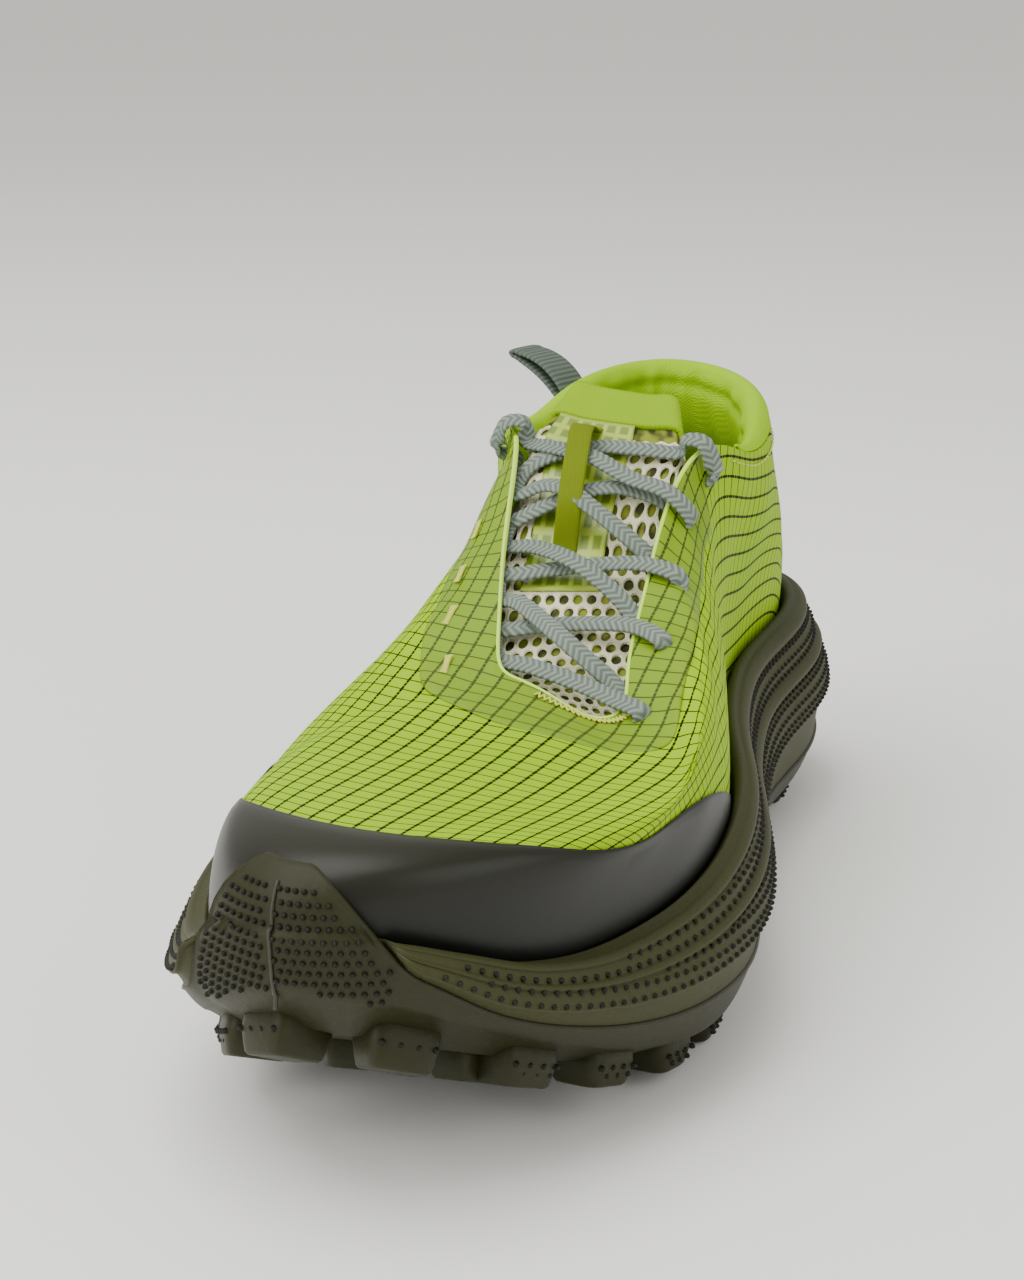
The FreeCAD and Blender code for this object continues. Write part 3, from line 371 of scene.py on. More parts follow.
def ribbon(name, path, side, width, thick, around=16, relief=None):
    # path points carried by an oval section: side * width, normal * thick
    tangent = unit(np.gradient(path, axis=0))
    side = unit(side - (side * tangent).sum(-1, keepdims=True) * tangent)
    normal = np.cross(side, tangent)
    angle = np.linspace(0, 2 * np.pi, around, endpoint=False)
    ca, sa = np.cos(angle), np.sin(angle)
    flatness = 0.55
    w = np.sign(ca) * np.abs(ca) ** flatness * 0.5
    h = np.sign(sa) * np.abs(sa) ** flatness * 0.5
    run = np.concatenate([[0], np.cumsum(np.linalg.norm(np.diff(path, axis=0), axis=1))])
    ww, hh = np.broadcast_arrays(w[None] * width, h[None] * thick)
    ww, hh = np.repeat(ww, len(path), 0), np.repeat(hh, len(path), 0)
    if relief is not None:
        ww, hh = relief(run[:, None], ww, hh)
    grid = (path[:, None] + side[:, None] * ww[..., None]
            + normal[:, None] * hh[..., None])
    uv = np.stack(np.broadcast_arrays(run[:, None], np.append(ww[0], ww[0, 0])[None]), -1)
    faces, (i, j) = gridFaces(len(path), around, False, True)
    corners = np.stack([uv[i, j], uv[i + 1, j], uv[i + 1, j + 1], uv[i, j + 1]], -2)
    corners = corners.reshape(-1, 4, 2)[:, ::-1]
    return finishMesh(name, grid, faces[:, ::-1], corners.reshape(-1, 2))


def linear(code):
    # sRGB hex to linear: c / 12.92, or ((c + 0.055) / 1.055) ^ 2.4
    c = [int(code[i:i + 2], 16) / 255 for i in (1, 3, 5)]
    c = [x / 12.92 if x <= 0.04045 else ((x + 0.055) / 1.055) ** 2.4 for x in c]
    return (*c, 1.0)


def addNode(tree, kind, settings=None, links=None):
    # a node with attribute settings and inputs by number or name
    node = tree.nodes.new(kind)
    for key, value in (settings or {}).items():
        setattr(node, key, value)
    for key, value in (links or {}).items():
        socket = node.inputs[key]
        if isinstance(value, bpy.types.NodeSocket):
            tree.links.new(value, socket)
        else:
            socket.default_value = value
    return node


def newMaterial(name, colour, roughness, extra=None):
    # principled shader with its constants on its own sockets
    mat = bpy.data.materials.new(name)
    mat.use_nodes = True
    tree = mat.node_tree
    shader = tree.nodes["Principled BSDF"]
    shader.inputs["Base Color"].default_value = linear(colour)
    shader.inputs["Roughness"].default_value = roughness
    for key, value in (extra or {}).items():
        shader.inputs[key].default_value = value
    return mat, tree, shader


def maths(tree, operation, a, b=0.0, c=0.0):
    # one Math node's result
    return addNode(tree, "ShaderNodeMath", {"operation": operation},
                   {0: a, 1: b, 2: c}).outputs[0]


def mixColour(tree, share, first, second):
    # colour mix, each side a hex code or a socket
    node = addNode(tree, "ShaderNodeMix", {"data_type": "RGBA"}, {0: share})
    for index, value in ((6, first), (7, second)):
        if isinstance(value, str):
            node.inputs[index].default_value = linear(value)
        else:
            tree.links.new(value, node.inputs[index])
    return node.outputs[2]


def noise(tree, vector, scale, detail=2.0):
    # noise factor at a scale per metre (or per uv millimetre)
    return addNode(tree, "ShaderNodeTexNoise", None,
                   {"Vector": vector, "Scale": scale, "Detail": detail}).outputs["Fac"]


def addBump(tree, shader, height, distance, strength=1.0):
    # bump of a height field with its real depth in metres
    bump = addNode(tree, "ShaderNodeBump", None,
                   {"Height": height, "Distance": distance, "Strength": strength})
    tree.links.new(bump.outputs[0], shader.inputs["Normal"])


def objectCoords(tree):
    # the piece's own object coordinates, in metres
    return addNode(tree, "ShaderNodeTexCoord").outputs["Object"]


def uvCoords(tree):
    # the piece's own uv, in millimetres of cloth
    return addNode(tree, "ShaderNodeTexCoord").outputs["UV"]


ripstop = {
    "turn": math.radians(10.0),      # warp leans from the shoe's length
    "thickPitch": 4.6, "thickWidth": 0.66,
    "finePitch": 3.6, "fineWidth": 0.34,
    "weave": 0.55,                    # drawn coarser than the real 0.15 mm
}


def ripstopPattern(tree):
    # line = 1 where |fract(u / pitch) - 0.5| > 0.5 - width / 2 pitch
    turned = addNode(tree, "ShaderNodeMapping", {"vector_type": "POINT"},
                     {"Vector": uvCoords(tree), "Rotation": (0, 0, ripstop["turn"])})
    axes = addNode(tree, "ShaderNodeSeparateXYZ", None, {0: turned.outputs[0]})
    u, v = axes.outputs[0], axes.outputs[1]

    def lines(coord, pitch, width):
        # smooth step of |fract(coord / pitch) - 0.5| at 0.5 - width / 2 pitch
        share = maths(tree, "FRACT", maths(tree, "DIVIDE", coord, pitch))
        away = maths(tree, "ABSOLUTE", maths(tree, "SUBTRACT", share, 0.5))
        edge = 0.5 - width / pitch / 2
        soft = 0.08 * width / pitch
        node = addNode(tree, "ShaderNodeMapRange", {"interpolation_type": "SMOOTHSTEP"},
                       {0: away, 1: edge - soft, 2: edge + soft})
        return node.outputs[0]

    thick = lines(u, ripstop["thickPitch"], ripstop["thickWidth"])
    fine = lines(v, ripstop["finePitch"], ripstop["fineWidth"])
    # the thick yarn dives under every few picks, so it shows as dashes
    dash = lines(v, ripstop["finePitch"] / 3.0, 0.26)
    thick = maths(tree, "MULTIPLY", thick, maths(tree, "SUBTRACT", 1.0, maths(tree, "MULTIPLY", dash, 0.55)))
    both = maths(tree, "MAXIMUM", thick, maths(tree, "MULTIPLY", fine, 0.95))
    weaveU = maths(tree, "SINE", maths(tree, "MULTIPLY", u, 2 * math.pi / ripstop["weave"]))
    weaveV = maths(tree, "SINE", maths(tree, "MULTIPLY", v, 2 * math.pi / ripstop["weave"]))
    weave = maths(tree, "MULTIPLY", weaveU, weaveV)
    return both, weave


def ripstopMaterial(name, cloth, shade, grid, strength, roughness, extra=None):
    # coated nylon ripstop: thin dark reinforcement yarns on bright plain weave
    mat, tree, shader = newMaterial(name, cloth, roughness, extra)
    both, weave = ripstopPattern(tree)
    blotch = noise(tree, objectCoords(tree), 22.0)
    base = mixColour(tree, blotch, cloth, shade)
    line = maths(tree, "MULTIPLY", both, strength)
    tree.links.new(mixColour(tree, line, base, grid), shader.inputs["Base Color"])
    height = maths(tree, "ADD", maths(tree, "MULTIPLY", both, 0.8),
                   maths(tree, "MULTIPLY", weave, 0.18))
    addBump(tree, shader, height, 0.00012, 0.7)
    return mat


def foamMaterial(name, light, dark, roughness, grain):
    # moulded foam or rubber: fine skin texture, cloudy colour
    mat, tree, shader = newMaterial(name, light, roughness, {"Specular IOR Level": 0.22})
    where = objectCoords(tree)
    cloud = noise(tree, where, 18.0, 3.0)
    speck = noise(tree, where, grain, 4.0)
    share = maths(tree, "MULTIPLY", maths(tree, "ADD", cloud, speck), 0.5)
    tree.links.new(mixColour(tree, share, light, dark), shader.inputs["Base Color"])
    addBump(tree, shader, speck, 0.00015, 0.6)
    return mat


def knitMaterial(name, light, dark, pitch, roughness=0.85):
    # brushed knit: rows of small loops on the cloth's own coordinates
    mat, tree, shader = newMaterial(name, light, roughness, {"Specular IOR Level": 0.1})
    where = objectCoords(tree)
    axes = addNode(tree, "ShaderNodeSeparateXYZ", None, {0: where})
    step = 2 * math.pi / pitch * 1000
    slant = maths(tree, "ADD", axes.outputs[0], axes.outputs[1])
    wale = maths(tree, "SINE", maths(tree, "MULTIPLY", slant, step))
    course = maths(tree, "SINE", maths(tree, "MULTIPLY", axes.outputs[2], step))
    loops = maths(tree, "MULTIPLY", wale, course)
    cloud = noise(tree, where, 40.0)
    share = maths(tree, "ADD", maths(tree, "MULTIPLY", loops, 0.12), maths(tree, "MULTIPLY", cloud, 0.75))
    tree.links.new(mixColour(tree, share, light, dark), shader.inputs["Base Color"])
    addBump(tree, shader, loops, 0.00012, 0.5)
    return mat


def tapeMaterial(name, light, dark, pitch, across=1.0):
    # woven polyester tape or braid: chevron ribs on the piece's own uv
    mat, tree, shader = newMaterial(name, light, 0.75, {"Specular IOR Level": 0.2})
    axes = addNode(tree, "ShaderNodeSeparateXYZ", None, {0: uvCoords(tree)})
    away = maths(tree, "MULTIPLY", maths(tree, "ABSOLUTE", axes.outputs[1]), across)
    phase = maths(tree, "MULTIPLY", maths(tree, "ADD", axes.outputs[0], away), 2 * math.pi / pitch)
    rib = maths(tree, "MULTIPLY_ADD", maths(tree, "SINE", phase), 0.5, 0.5)
    crossing = maths(tree, "SUBTRACT", axes.outputs[0], away)
    strand = maths(tree, "SINE", maths(tree, "MULTIPLY", crossing, 2 * math.pi / pitch * 3.1))
    share = maths(tree, "ADD", maths(tree, "MULTIPLY", rib, 0.75), maths(tree, "MULTIPLY", strand, 0.12))
    tree.links.new(mixColour(tree, share, dark, light), shader.inputs["Base Color"])
    addBump(tree, shader, share, 0.0003, 0.8)
    return mat


materials = {
    "ripstop": ripstopMaterial("coatedRipstopNylon", "#9CC400", "#86AE00", "#0C0E02", 1.0, 0.6,
                               {"Specular IOR Level": 0.06}),
    "film": ripstopMaterial("fusedEyestayFilm", "#7E9E0C", "#6C8C06", "#1C2604", 0.85, 0.4,
                            {"Specular IOR Level": 0.2, "Coat Weight": 0.06, "Coat Roughness": 0.35}),
    "foam": foamMaterial("injectedMidsoleFoam", "#3D3E1E", "#2E2F17", 0.6, 900.0),
    "rubber": foamMaterial("mouldedOutsoleRubber", "#2C2C11", "#1E1E0B", 0.5, 700.0),
    "stud": foamMaterial("mouldedRubberStuds", "#1A1A0B", "#0F0F06", 0.5, 900.0),
    "collar": knitMaterial("stretchKnitCollar", "#9DC800", "#86B000", 0.9),
    "band": knitMaterial("knitTongueBand", "#8FB604", "#759804", 0.8),
    "keeper": knitMaterial("wovenKeeperStrap", "#6F7F14", "#55640C", 0.7),
    "lining": knitMaterial("brushedLining", "#7C9C0A", "#5A7806", 1.2),
    "net": knitMaterial("spacerMeshYarn", "#EDEACB", "#CFCBA4", 0.7),
    "lace": tapeMaterial("braidedPolyesterLace", "#929C90", "#5E695F", 1.5, 0.8),
    "webbing": tapeMaterial("wovenNylonTape", "#656F62", "#47514A", 1.4, 0.0),
    "thread": newMaterial("sewingThread", "#C4C93A", 0.6, {"Sheen Weight": 0.3})[0],
    "edge": newMaterial("cutEdgeOfUpper", "#C2E84A", 0.55)[0],
    "mould": newMaterial("mouldLineRubber", "#232310", 0.5)[0],
}


def toeGuardMaterial():
    # fused polyurethane film: satin, olive above, near black at the welt
    mat, tree, shader = newMaterial("fusedToeGuardFilm", "#2B2C18", 0.38,
                                    {"Specular IOR Level": 0.3})
    where = objectCoords(tree)
    both, _ = ripstopPattern(tree)
    axes = addNode(tree, "ShaderNodeSeparateXYZ", None, {0: where})
    high = addNode(tree, "ShaderNodeMapRange", {"interpolation_type": "SMOOTHSTEP"},
                   {0: axes.outputs[2], 1: 0.048, 2: 0.078})
    tone = mixColour(tree, high.outputs[0], "#060704", "#1F1F0B")
    faint = maths(tree, "MULTIPLY", maths(tree, "MULTIPLY", both, high.outputs[0]), 0.16)
    tree.links.new(mixColour(tree, faint, tone, "#20210F"), shader.inputs["Base Color"])
    addBump(tree, shader, noise(tree, where, 500.0), 0.00005, 0.5)
    return mat


def patchMaterial():
    # clear film laminated over the mesh: hexagon holes show through dimly
    mat, tree, shader = newMaterial("laminatedTonguePatch", "#7F9A18", 0.35,
                                    {"Coat Weight": 0.3, "Coat Roughness": 0.3})
    cells = addNode(tree, "ShaderNodeTexVoronoi", {"feature": "DISTANCE_TO_EDGE"},
                    {"Vector": uvCoords(tree), "Scale": 0.27, "Randomness": 0.0})
    share = addNode(tree, "ShaderNodeMapRange", {"interpolation_type": "SMOOTHSTEP"},
                    {0: cells.outputs["Distance"], 1: 0.1, 2: 0.25})
    tree.links.new(mixColour(tree, share.outputs[0], "#A3B83A", "#6C8410"), shader.inputs["Base Color"])
    return mat


materials["guard"] = toeGuardMaterial()
materials["patch"] = patchMaterial()
print("materials ready")


def dress(piece, material, body, slotName, *nodes):
    # material, body, material slot name (not used) and the nodes that the piece stands for
    piece.data.materials.append(materials[material])
    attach(piece, body)
    if nodes:
        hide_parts(*nodes)
    return piece


sole = {
    "lugDepth": 4.5, "floorThick": 2.5, "wallThick": 1.8, "wallStart": 1.6,
    "cupGap": 0.6, "randCentre": 24.85, "randReach": 1.25, "randPeak": 65.0,
    "studPitch": 3.1, "studRadius": 0.6, "studHeight": 0.75,
}


def randShare(t):
    # 1 over the middle of the toe rand, down to 0 at its reach
    away = np.abs((t - sole["randCentre"] + 12.5) % 25.0 - 12.5)
    return ramp(away / sole["randReach"], 1.0, 0.28)


def wallTop(t):
    # joint height + (peak - joint height) * rand share
    y = outline(t)[..., 1]
    return joint(y) + (sole["randPeak"] - joint(y)) * randShare(t)


def wallBase(t):
    # ground + lug depth + start of the wall
    return ground(outline(t)[..., 1]) + sole["lugDepth"] + sole["wallStart"]


def guardTable():
    # inset of the toe guard's face at heights over the toe, as a small table
    t = np.linspace(23.3, 26.3, 61)[:, None]
    z = np.linspace(48.0, 66.0, 37)
    p = upperAt(t, np.linspace(0.0, 0.6, 60)[None], -0.8)
    n = outward(t)
    inset = ((outline(t) - p[..., :2]) * n[..., :2]).sum(-1)
    height = np.maximum.accumulate(p[..., 2], -1)
    return np.stack([np.interp(z, h, i) for h, i in zip(height, inset)])


guardFace = guardTable()


def guardInset(t, z):
    # bilinear reading of that table
    x = np.clip(((t - 23.3) % 25.0) / 0.05, 0, 59.999)
    y = np.clip((z - 48.0) / 0.5, 0, 35.999)
    i, j = x.astype(int), y.astype(int)
    f, g = x - i, y - j
    return ((guardFace[i, j] * (1 - f) + guardFace[i + 1, j] * f) * (1 - g)
            + (guardFace[i, j + 1] * (1 - f) + guardFace[i + 1, j + 1] * f) * g)


def cupInset(t, z):
    # inset of the outsole wall's outer face; the rand leans on the guard
    share = np.maximum((z - wallBase(t)) / (wallTop(t) - wallBase(t)), 0.0)
    covered = ramp(randShare(t), 0.0, 0.35)
    inset = 7.5 - 4.9 * share ** 0.6 - 1.9 * covered * (1 - share)
    resting = guardInset(t, z) - 1.0 - sole["wallThick"]
    above = z > rim(outline(t)[..., 1])
    return inset + np.where(above, np.maximum(resting - inset, 0) * covered, 0)


def foamGap(t):
    # air behind the cup's wall: cup gap, 1.3 more where the rand starts
    away = np.abs((t - sole["randCentre"] + 12.5) % 25.0 - 12.5)
    return sole["cupGap"] + 1.3 * ramp(away, 1.85, 1.25)


def coveredShare(t):
    # 0 where the wall stays 5 mm under the rim, 1 from 2.3 mm under it
    return ramp(wallTop(t) - rim(outline(t)[..., 1]), -5.0, -2.3)


def outsoleRows():
    # cup: underside, corner, outer wall up, edge bead, inner wall down, floor
    t = (13 + np.linspace(0, 25, 361)[:-1])
    low, top = wallBase(t), wallTop(t)
    mid = insetPoint(t, 13.0, 0.0)
    rows = []
    for share in (1.0, 0.66, 0.33, 0.0):
        p = mid.copy()
        p[:, :2] = mid[:, :2] + (mid[:, :2] * [0.08, 0.86] - mid[:, :2]) * share
        p[:, 2] = ground(p[:, 1]) + sole["lugDepth"]
        rows.append(p)
    for share in np.linspace(0, 0.985, 22) ** 0.85:
        z = low + (top - low) * share
        rows.append(insetPoint(t, cupInset(t, z) - 0.35 * ramp(share, 0.93, 0.985), z))
    z = top + 0.1
    inset = cupInset(t, top)
    rows.append(insetPoint(t, inset + 0.1, z + 0.35))
    rows.append(insetPoint(t, inset + 1.1, z + 0.45))
    rows.append(insetPoint(t, inset + 1.75, z + 0.1))
    for share in np.linspace(0.98, 0.02, 12):
        z = low + (top - low) * share
        rows.append(insetPoint(t, cupInset(t, z) + sole["wallThick"], z))
    for share in (0.0, 0.5, 1.0):
        p = mid.copy()
        p[:, :2] = mid[:, :2] + (mid[:, :2] * [0.08, 0.86] - mid[:, :2]) * share
        p[:, 2] = ground(p[:, 1]) + sole["lugDepth"] + sole["floorThick"]
        rows.append(p)
    return np.stack(rows, 1)


def loopUv(grid):
    # running lengths along both directions, in millimetres
    along = np.linalg.norm(np.diff(np.concatenate([grid, grid[:1]], 0), axis=0), axis=-1)
    along = np.concatenate([np.zeros((1, grid.shape[1])), np.cumsum(along, 0)], 0)
    across = np.linalg.norm(np.diff(grid, axis=1), axis=-1)
    across = np.concatenate([np.zeros((grid.shape[0], 1)), np.cumsum(across, 1)], 1)
    across = np.concatenate([across, across[:1]], 0)
    return np.stack([along, across], -1)


outsoleGrid = outsoleRows()
outsole = gridPiece("outsoleCup", outsoleGrid, loopUv(outsoleGrid), wrapU=True)
dress(outsole, "rubber", "shoe", "outsole_rubber", "outsole")


def lugBlock(centre, angle, length, width, depth, square=0.45):
    # superellipse rings |cos|^k, |sin|^k narrowing to a rounded foot
    a = np.linspace(0, 2 * np.pi, 28, endpoint=False)
    ex = np.sign(np.cos(a)) * np.abs(np.cos(a)) ** square
    ey = np.sign(np.sin(a)) * np.abs(np.sin(a)) ** square
    ca, sa = math.cos(angle), math.sin(angle)
    rings = []
    for size, drop in ((0.72, -5.0), (0.96, -1.6), (0.98, 0.4), (0.9, depth * 0.6),
                       (0.84, depth * 0.9), (0.77, depth), (0.4, depth), (0.02, depth)):
        px, py = ex * width / 2 * size, ey * length / 2 * size
        x = centre[0] + px * ca - py * sa
        y = centre[1] + px * sa + py * ca
        slope = (ground(centre[1] + 2) - ground(centre[1] - 2)) / 4
        z = ground(centre[1]) + sole["lugDepth"] + (y - centre[1]) * slope - drop
        rings.append(np.stack([x, y + drop * slope, z], -1))
    return np.stack(rings, 1)


def makeLugs():
    # blocks 15 mm inside the outline, then pairs and singles in the middle
    places = []
    for t in (1.1, 2.2, 3.1, 4.0, 4.9, 5.8, 9.2, 10.1, 11.0, 12.0, 14.0, 15.0,
              15.9, 16.8, 19.9, 20.8, 21.7, 22.6, 23.5, 24.4):
        p = insetPoint(np.array(t), 15.0, 0.0)
        n = outward(np.array(t))
        places.append((p[:2], math.atan2(n[1], n[0]), 14.0, 13.0))
    for y in (-112, -92, -72, -52, -32, 78, 98):
        places.append((np.array([-13, y]), 0.4, 13.0, 10.0))
        places.append((np.array([9, y]), -0.4, 13.0, 10.0))
    places.append((np.array([-3, -12]), 0.0, 12.0, 14.0))
    places.append((np.array([1, 122]), 0.0, 12.0, 14.0))
    blocks = [lugBlock(c, a, l, w, sole["lugDepth"]) for c, a, l, w in places]
    faces, _ = gridFaces(28, 8, True, False)
    points = np.concatenate([b.reshape(-1, 3) for b in blocks])
    allFaces = np.concatenate([faces[:, ::-1] + k * 28 * 8 for k in range(len(blocks))])
    return finishMesh("outsoleLugs", points, allFaces), places


# the first places in makeLugs go round the edge, the rest stand inside
edgeLugs = 20
lugs, lugPlaces = makeLugs()
dress(lugs, "rubber", "shoe", "outsole_rubber")


def lugStuds():
    # a row of four studs and a row of three on the outer face of each edge lug
    rows = []
    for centre, angle, _, width in lugPlaces[:edgeLugs]:
        out = np.array([math.cos(angle), math.sin(angle)])
        along = np.array([-out[1], out[0]])
        slope = (ground(centre[1] + 2) - ground(centre[1] - 2)) / 4
        for row, drop in enumerate((0.9, 2.6)):
            for k in range(4 - row):
                xy = centre + out * (width / 2 * (0.985 - 0.03 * drop)) + along * ((k - 1.5 + row / 2) * 3.3)
                z = ground(centre[1]) + sole["lugDepth"] + (xy[1] - centre[1]) * slope - drop
                rows.append((*xy, z, *out, -0.12))
    rows = np.array(rows)
    return rows[:, :3], rows[:, 3:]


studPiece = scatterPiece("lugStuds", *lugStuds(), 0.62, 0.75)
dress(studPiece, "stud", "shoe", "outsole_rubber")
print("outsole made")


def sideKnots(t):
    # the foam's bare side from the step up: lower wall, edge, band, ridge,
    # band, rim bead; each as (inset, height)
    y = outline(t)[..., 1]
    top = rim(y)
    step = np.minimum(np.maximum(joint(y), wallTop(t)), top - 2.2)
    edge = step + np.minimum(edgeRise(y), (top - step) * 0.4)
    reach = rimInset(y)
    bead = np.clip((top - edge) / 25.0, 0.25, 1.0)
    rows = [(2.9 + 0 * y, step + 0.1), (2.3 + 0 * y, step + (edge - step) * 0.45),
            (1.2 + 0 * y, step + (edge - step) * 0.86), (0.15 + 0 * y, edge - 0.25),
            (-0.1 + 0 * y, edge + 0.2)]
    for share, inward, bulge in (
            (0.06, 0.0, 0.0), (0.2, 0.05, -0.1), (0.36, 0.17, 0.0), (0.42, 0.23, 0.35),
            (0.46, 0.25, -0.5), (0.51, 0.29, -1.0), (0.56, 0.34, -0.55), (0.6, 0.4, 0.4),
            (0.7, 0.48, 0.15), (0.8, 0.6, 0.3), (0.83, 0.64, 0.5), (0.87, 0.68, -0.35),
            (0.93, 0.74, -0.75), (0.985, 0.86, -0.4), (1.0, 1.0, 0.0)):
        rows.append((reach * inward + bulge * bead, edge + (top - 0.8 - edge) * share))
    covered = coveredShare(t)
    out = []
    for inset, z in rows:
        hidden = np.minimum(np.maximum(cupInset(t, z) + sole["wallThick"] + foamGap(t), inset),
                            rimWall(t) - 0.6)
        out.append((inset + (hidden - inset) * covered, z))
    return out


def sidePoint(t, s):
    # Catmull-Rom through the knots; s is 0 at the step and 1 at the rim
    rows = np.stack([insetPoint(t, a, z) for a, z in sideKnots(t)], 0)
    return openCurve(rows, s)


def midsoleRows():
    # underside, lower wall, side, rim, inner wall and floor, row by row
    t = 13 + np.linspace(0, 25, 401)[:-1]
    rows = []
    base = insetPoint(t, 15.2, 0.0)
    for share in (1.0, 0.5, 0.0):
        p = base.copy()
        p[:, :2] += (base[:, :2] * [0.08, 0.86] - base[:, :2]) * share
        p[:, 2] = ground(p[:, 1]) + sole["lugDepth"] + sole["floorThick"] + 0.1
        rows.append(p)
    y = outline(t)[:, 1]
    step = np.minimum(np.maximum(joint(y), wallTop(t)), rim(y) - 2.2)
    for share in (0.05, 0.4, 0.75, 1.0):
        z = wallBase(t) + (step + 0.1 - wallBase(t)) * share
        rows.append(insetPoint(t, cupInset(t, z) + sole["wallThick"] + foamGap(t), z))
    side = sidePoint(t, np.linspace(0, 1, 90))
    rows += list(side)
    rows.append(insetOn(t, np.maximum(rimInset(y) + 0.7, 6.8), rim, -0.1))
    rows.append(insetOn(t, np.maximum(rimInset(y) + 1.7, 7.0), rim, 0.05))
    rows.append(insetOn(t, rimWall(t), rim, -0.9))
    rows.append(insetOn(t, rimWall(t) + 0.7, floorLine))
    base = insetOn(t, rimWall(t) + 0.7, floorLine)
    for share in (0.5, 1.0):
        p = base.copy()
        p[:, :2] += (base[:, :2] * [0.08, 0.86] - base[:, :2]) * share
        p[:, 2] = floorLine(p[:, 1])
        rows.append(p)
    return np.stack(rows, 1)


midsoleGrid = midsoleRows()
midsole = gridPiece("midsoleFoam", midsoleGrid, loopUv(midsoleGrid), wrapU=True)
dress(midsole, "foam", "shoe", "midsole_foam", "midsole")


def sideNormal(t, s):
    # cross product of the side's small steps along t and up s
    e = 0.004
    dt = sideAt(t + 0.02, s) - sideAt(t - 0.02, s)
    ds = sideAt(t, s + e) - sideAt(t, s - e)
    return unit(np.cross(dt, ds))


def sideAt(t, s):
    # the same surface at matching arrays of t and s
    rows = np.stack([insetPoint(t, a, z) for a, z in sideKnots(t)], 0)
    n = len(rows) - 1
    x = np.clip(s, 0, 1) * n
    i = np.minimum(x.astype(int), n - 1)
    f = (x - i)[:, None]
    k = np.arange(len(t))
    a, b, c, d = (rows[np.clip(i + m, 0, n), k] for m in (-1, 0, 1, 2))
    return 0.5 * (2 * b + (c - a) * f + (2 * a - 5 * b + 4 * c - d) * f * f
                  + (3 * b - a - 3 * c + d) * f ** 3)


def bandStuds(sLow, sHigh, margin):
    # rows a pitch apart up the band, each row shifted half a pitch
    fine = np.linspace(0, 25, 4001)
    lower = sideAt(fine, np.full_like(fine, sLow))
    run = np.concatenate([[0], np.cumsum(np.linalg.norm(np.diff(lower, axis=0), axis=1))])
    pitch = sole["studPitch"]
    count = int(run[-1] / pitch)
    places = []
    for row in range(12):
        along = (np.arange(count) + 0.5 * (row % 2)) * run[-1] / count
        t = np.interp(along, run, fine)
        low = sideAt(t, np.full_like(t, sLow))
        high = sideAt(t, np.full_like(t, sHigh))
        width = np.linalg.norm(high - low, axis=1)
        share = (margin + row * pitch * 0.56) / width
        keep = (share < 1 - margin / width * 0.6) & (coveredShare(t) < 0.02) & (width > 2.0)
        places.append(np.stack([t[keep], sLow + (sHigh - sLow) * share[keep]], 1))
    places = np.concatenate(places)
    return places[:, 0], places[:, 1]


# number of spans between the knots of sideKnots
knotCount = 19.0
studParts = [bandStuds(4.6 / knotCount, 8.3 / knotCount, 0.7),
             bandStuds(11.6 / knotCount, 15.3 / knotCount, 0.7)]
studT = np.concatenate([a for a, _ in studParts])
studS = np.concatenate([b for _, b in studParts])
studs = scatterPiece("midsoleStuds", sideAt(studT, studS), sideNormal(studT, studS),
                     sole["studRadius"], sole["studHeight"])
dress(studs, "stud", "shoe", "midsole_foam")


def cupAt(t, z):
    # outline moved in by cupInset, at height z
    return insetPoint(t, cupInset(t, z), z)


def cupNormal(t, z):
    # cross product of the wall's small steps along t and up z
    dt = cupAt(t + 0.02, z) - cupAt(t - 0.02, z)
    dz = cupAt(t, z + 0.3) - cupAt(t, z - 0.3)
    return unit(np.cross(dt, dz))


def randStuds():
    # staggered rows of studs on the toe rand, kept 2.6 mm below its edge
    t, z = np.meshgrid(np.arange(-1.9, 1.3, 0.092), np.arange(32.0, 64.5, 2.0), indexing="ij")
    t = t + 0.046 * (np.round((z - 32.0) / 2.0) % 2)
    t, z = t.ravel() + 0.02, z.ravel()
    tt = (t + 25.0) % 25.0
    keep = (z < wallTop(tt) - 2.6) & (z > wallBase(tt) + 1.0) & (np.abs(t + 0.15) > 0.06)
    keep &= (randShare(tt) > 0.12)
    return tt[keep], z[keep]


rt, rz = randStuds()
randStudPiece = scatterPiece("toeRandStuds", cupAt(rt, rz), cupNormal(rt, rz), 0.58, 0.75)
dress(randStudPiece, "stud", "shoe", "outsole_rubber")

lineZ = np.linspace(40.0, 63.0, 60)
lineT = np.full_like(lineZ, 24.85) + 0.03 * np.sin((lineZ - 40) / 9)
linePath = cupAt(lineT, lineZ) + cupNormal(lineT, lineZ) * 0.1
mouldLine = ribbon("toeMouldLine", linePath, np.cross(cupNormal(lineT, lineZ), [[0, 0, 1.0]]), 0.7, 0.7, 8)
dress(mouldLine, "mould", "shoe", "outsole_rubber")
print("midsole and studs made")


def wrinkle(t, v):
    # soft folds: long waves that run down from the opening, none over the toe
    away = np.abs((t - 24.8 + 12.5) % 25.0 - 12.5)
    calm = 1 - (1 - ramp(away, 3.5, 5.5)) * (1 - ramp(v, 0.5, 0.8))
    return (0.35 * np.sin(2.1 * t + 5.0 * v) * np.sin(3.7 * v + 0.9 * t)
            + 0.22 * np.sin(5.3 * t - 9.0 * v + 1.3)) * ramp(v, 0.05, 0.35) * (1 - ramp(v, 0.85, 1.0)) * calm


tUpper = (13 + np.linspace(0, 25, 421))[:, None]
vUpper = np.concatenate([np.linspace(-0.3, 0, 4)[:-1], np.linspace(0, 1, 90)])[None]
folds = wrinkle(tUpper, vUpper)
upper = shellPiece("upperShell", upperAt(tUpper, vUpper, -folds), upperAt(tUpper, vUpper, 0.6 - folds),
                   clothUv(tUpper, vUpper))
dress(upper, "ripstop", "shoe", "ripstop", "upper_shell", "toe_puff", "heel_counter")


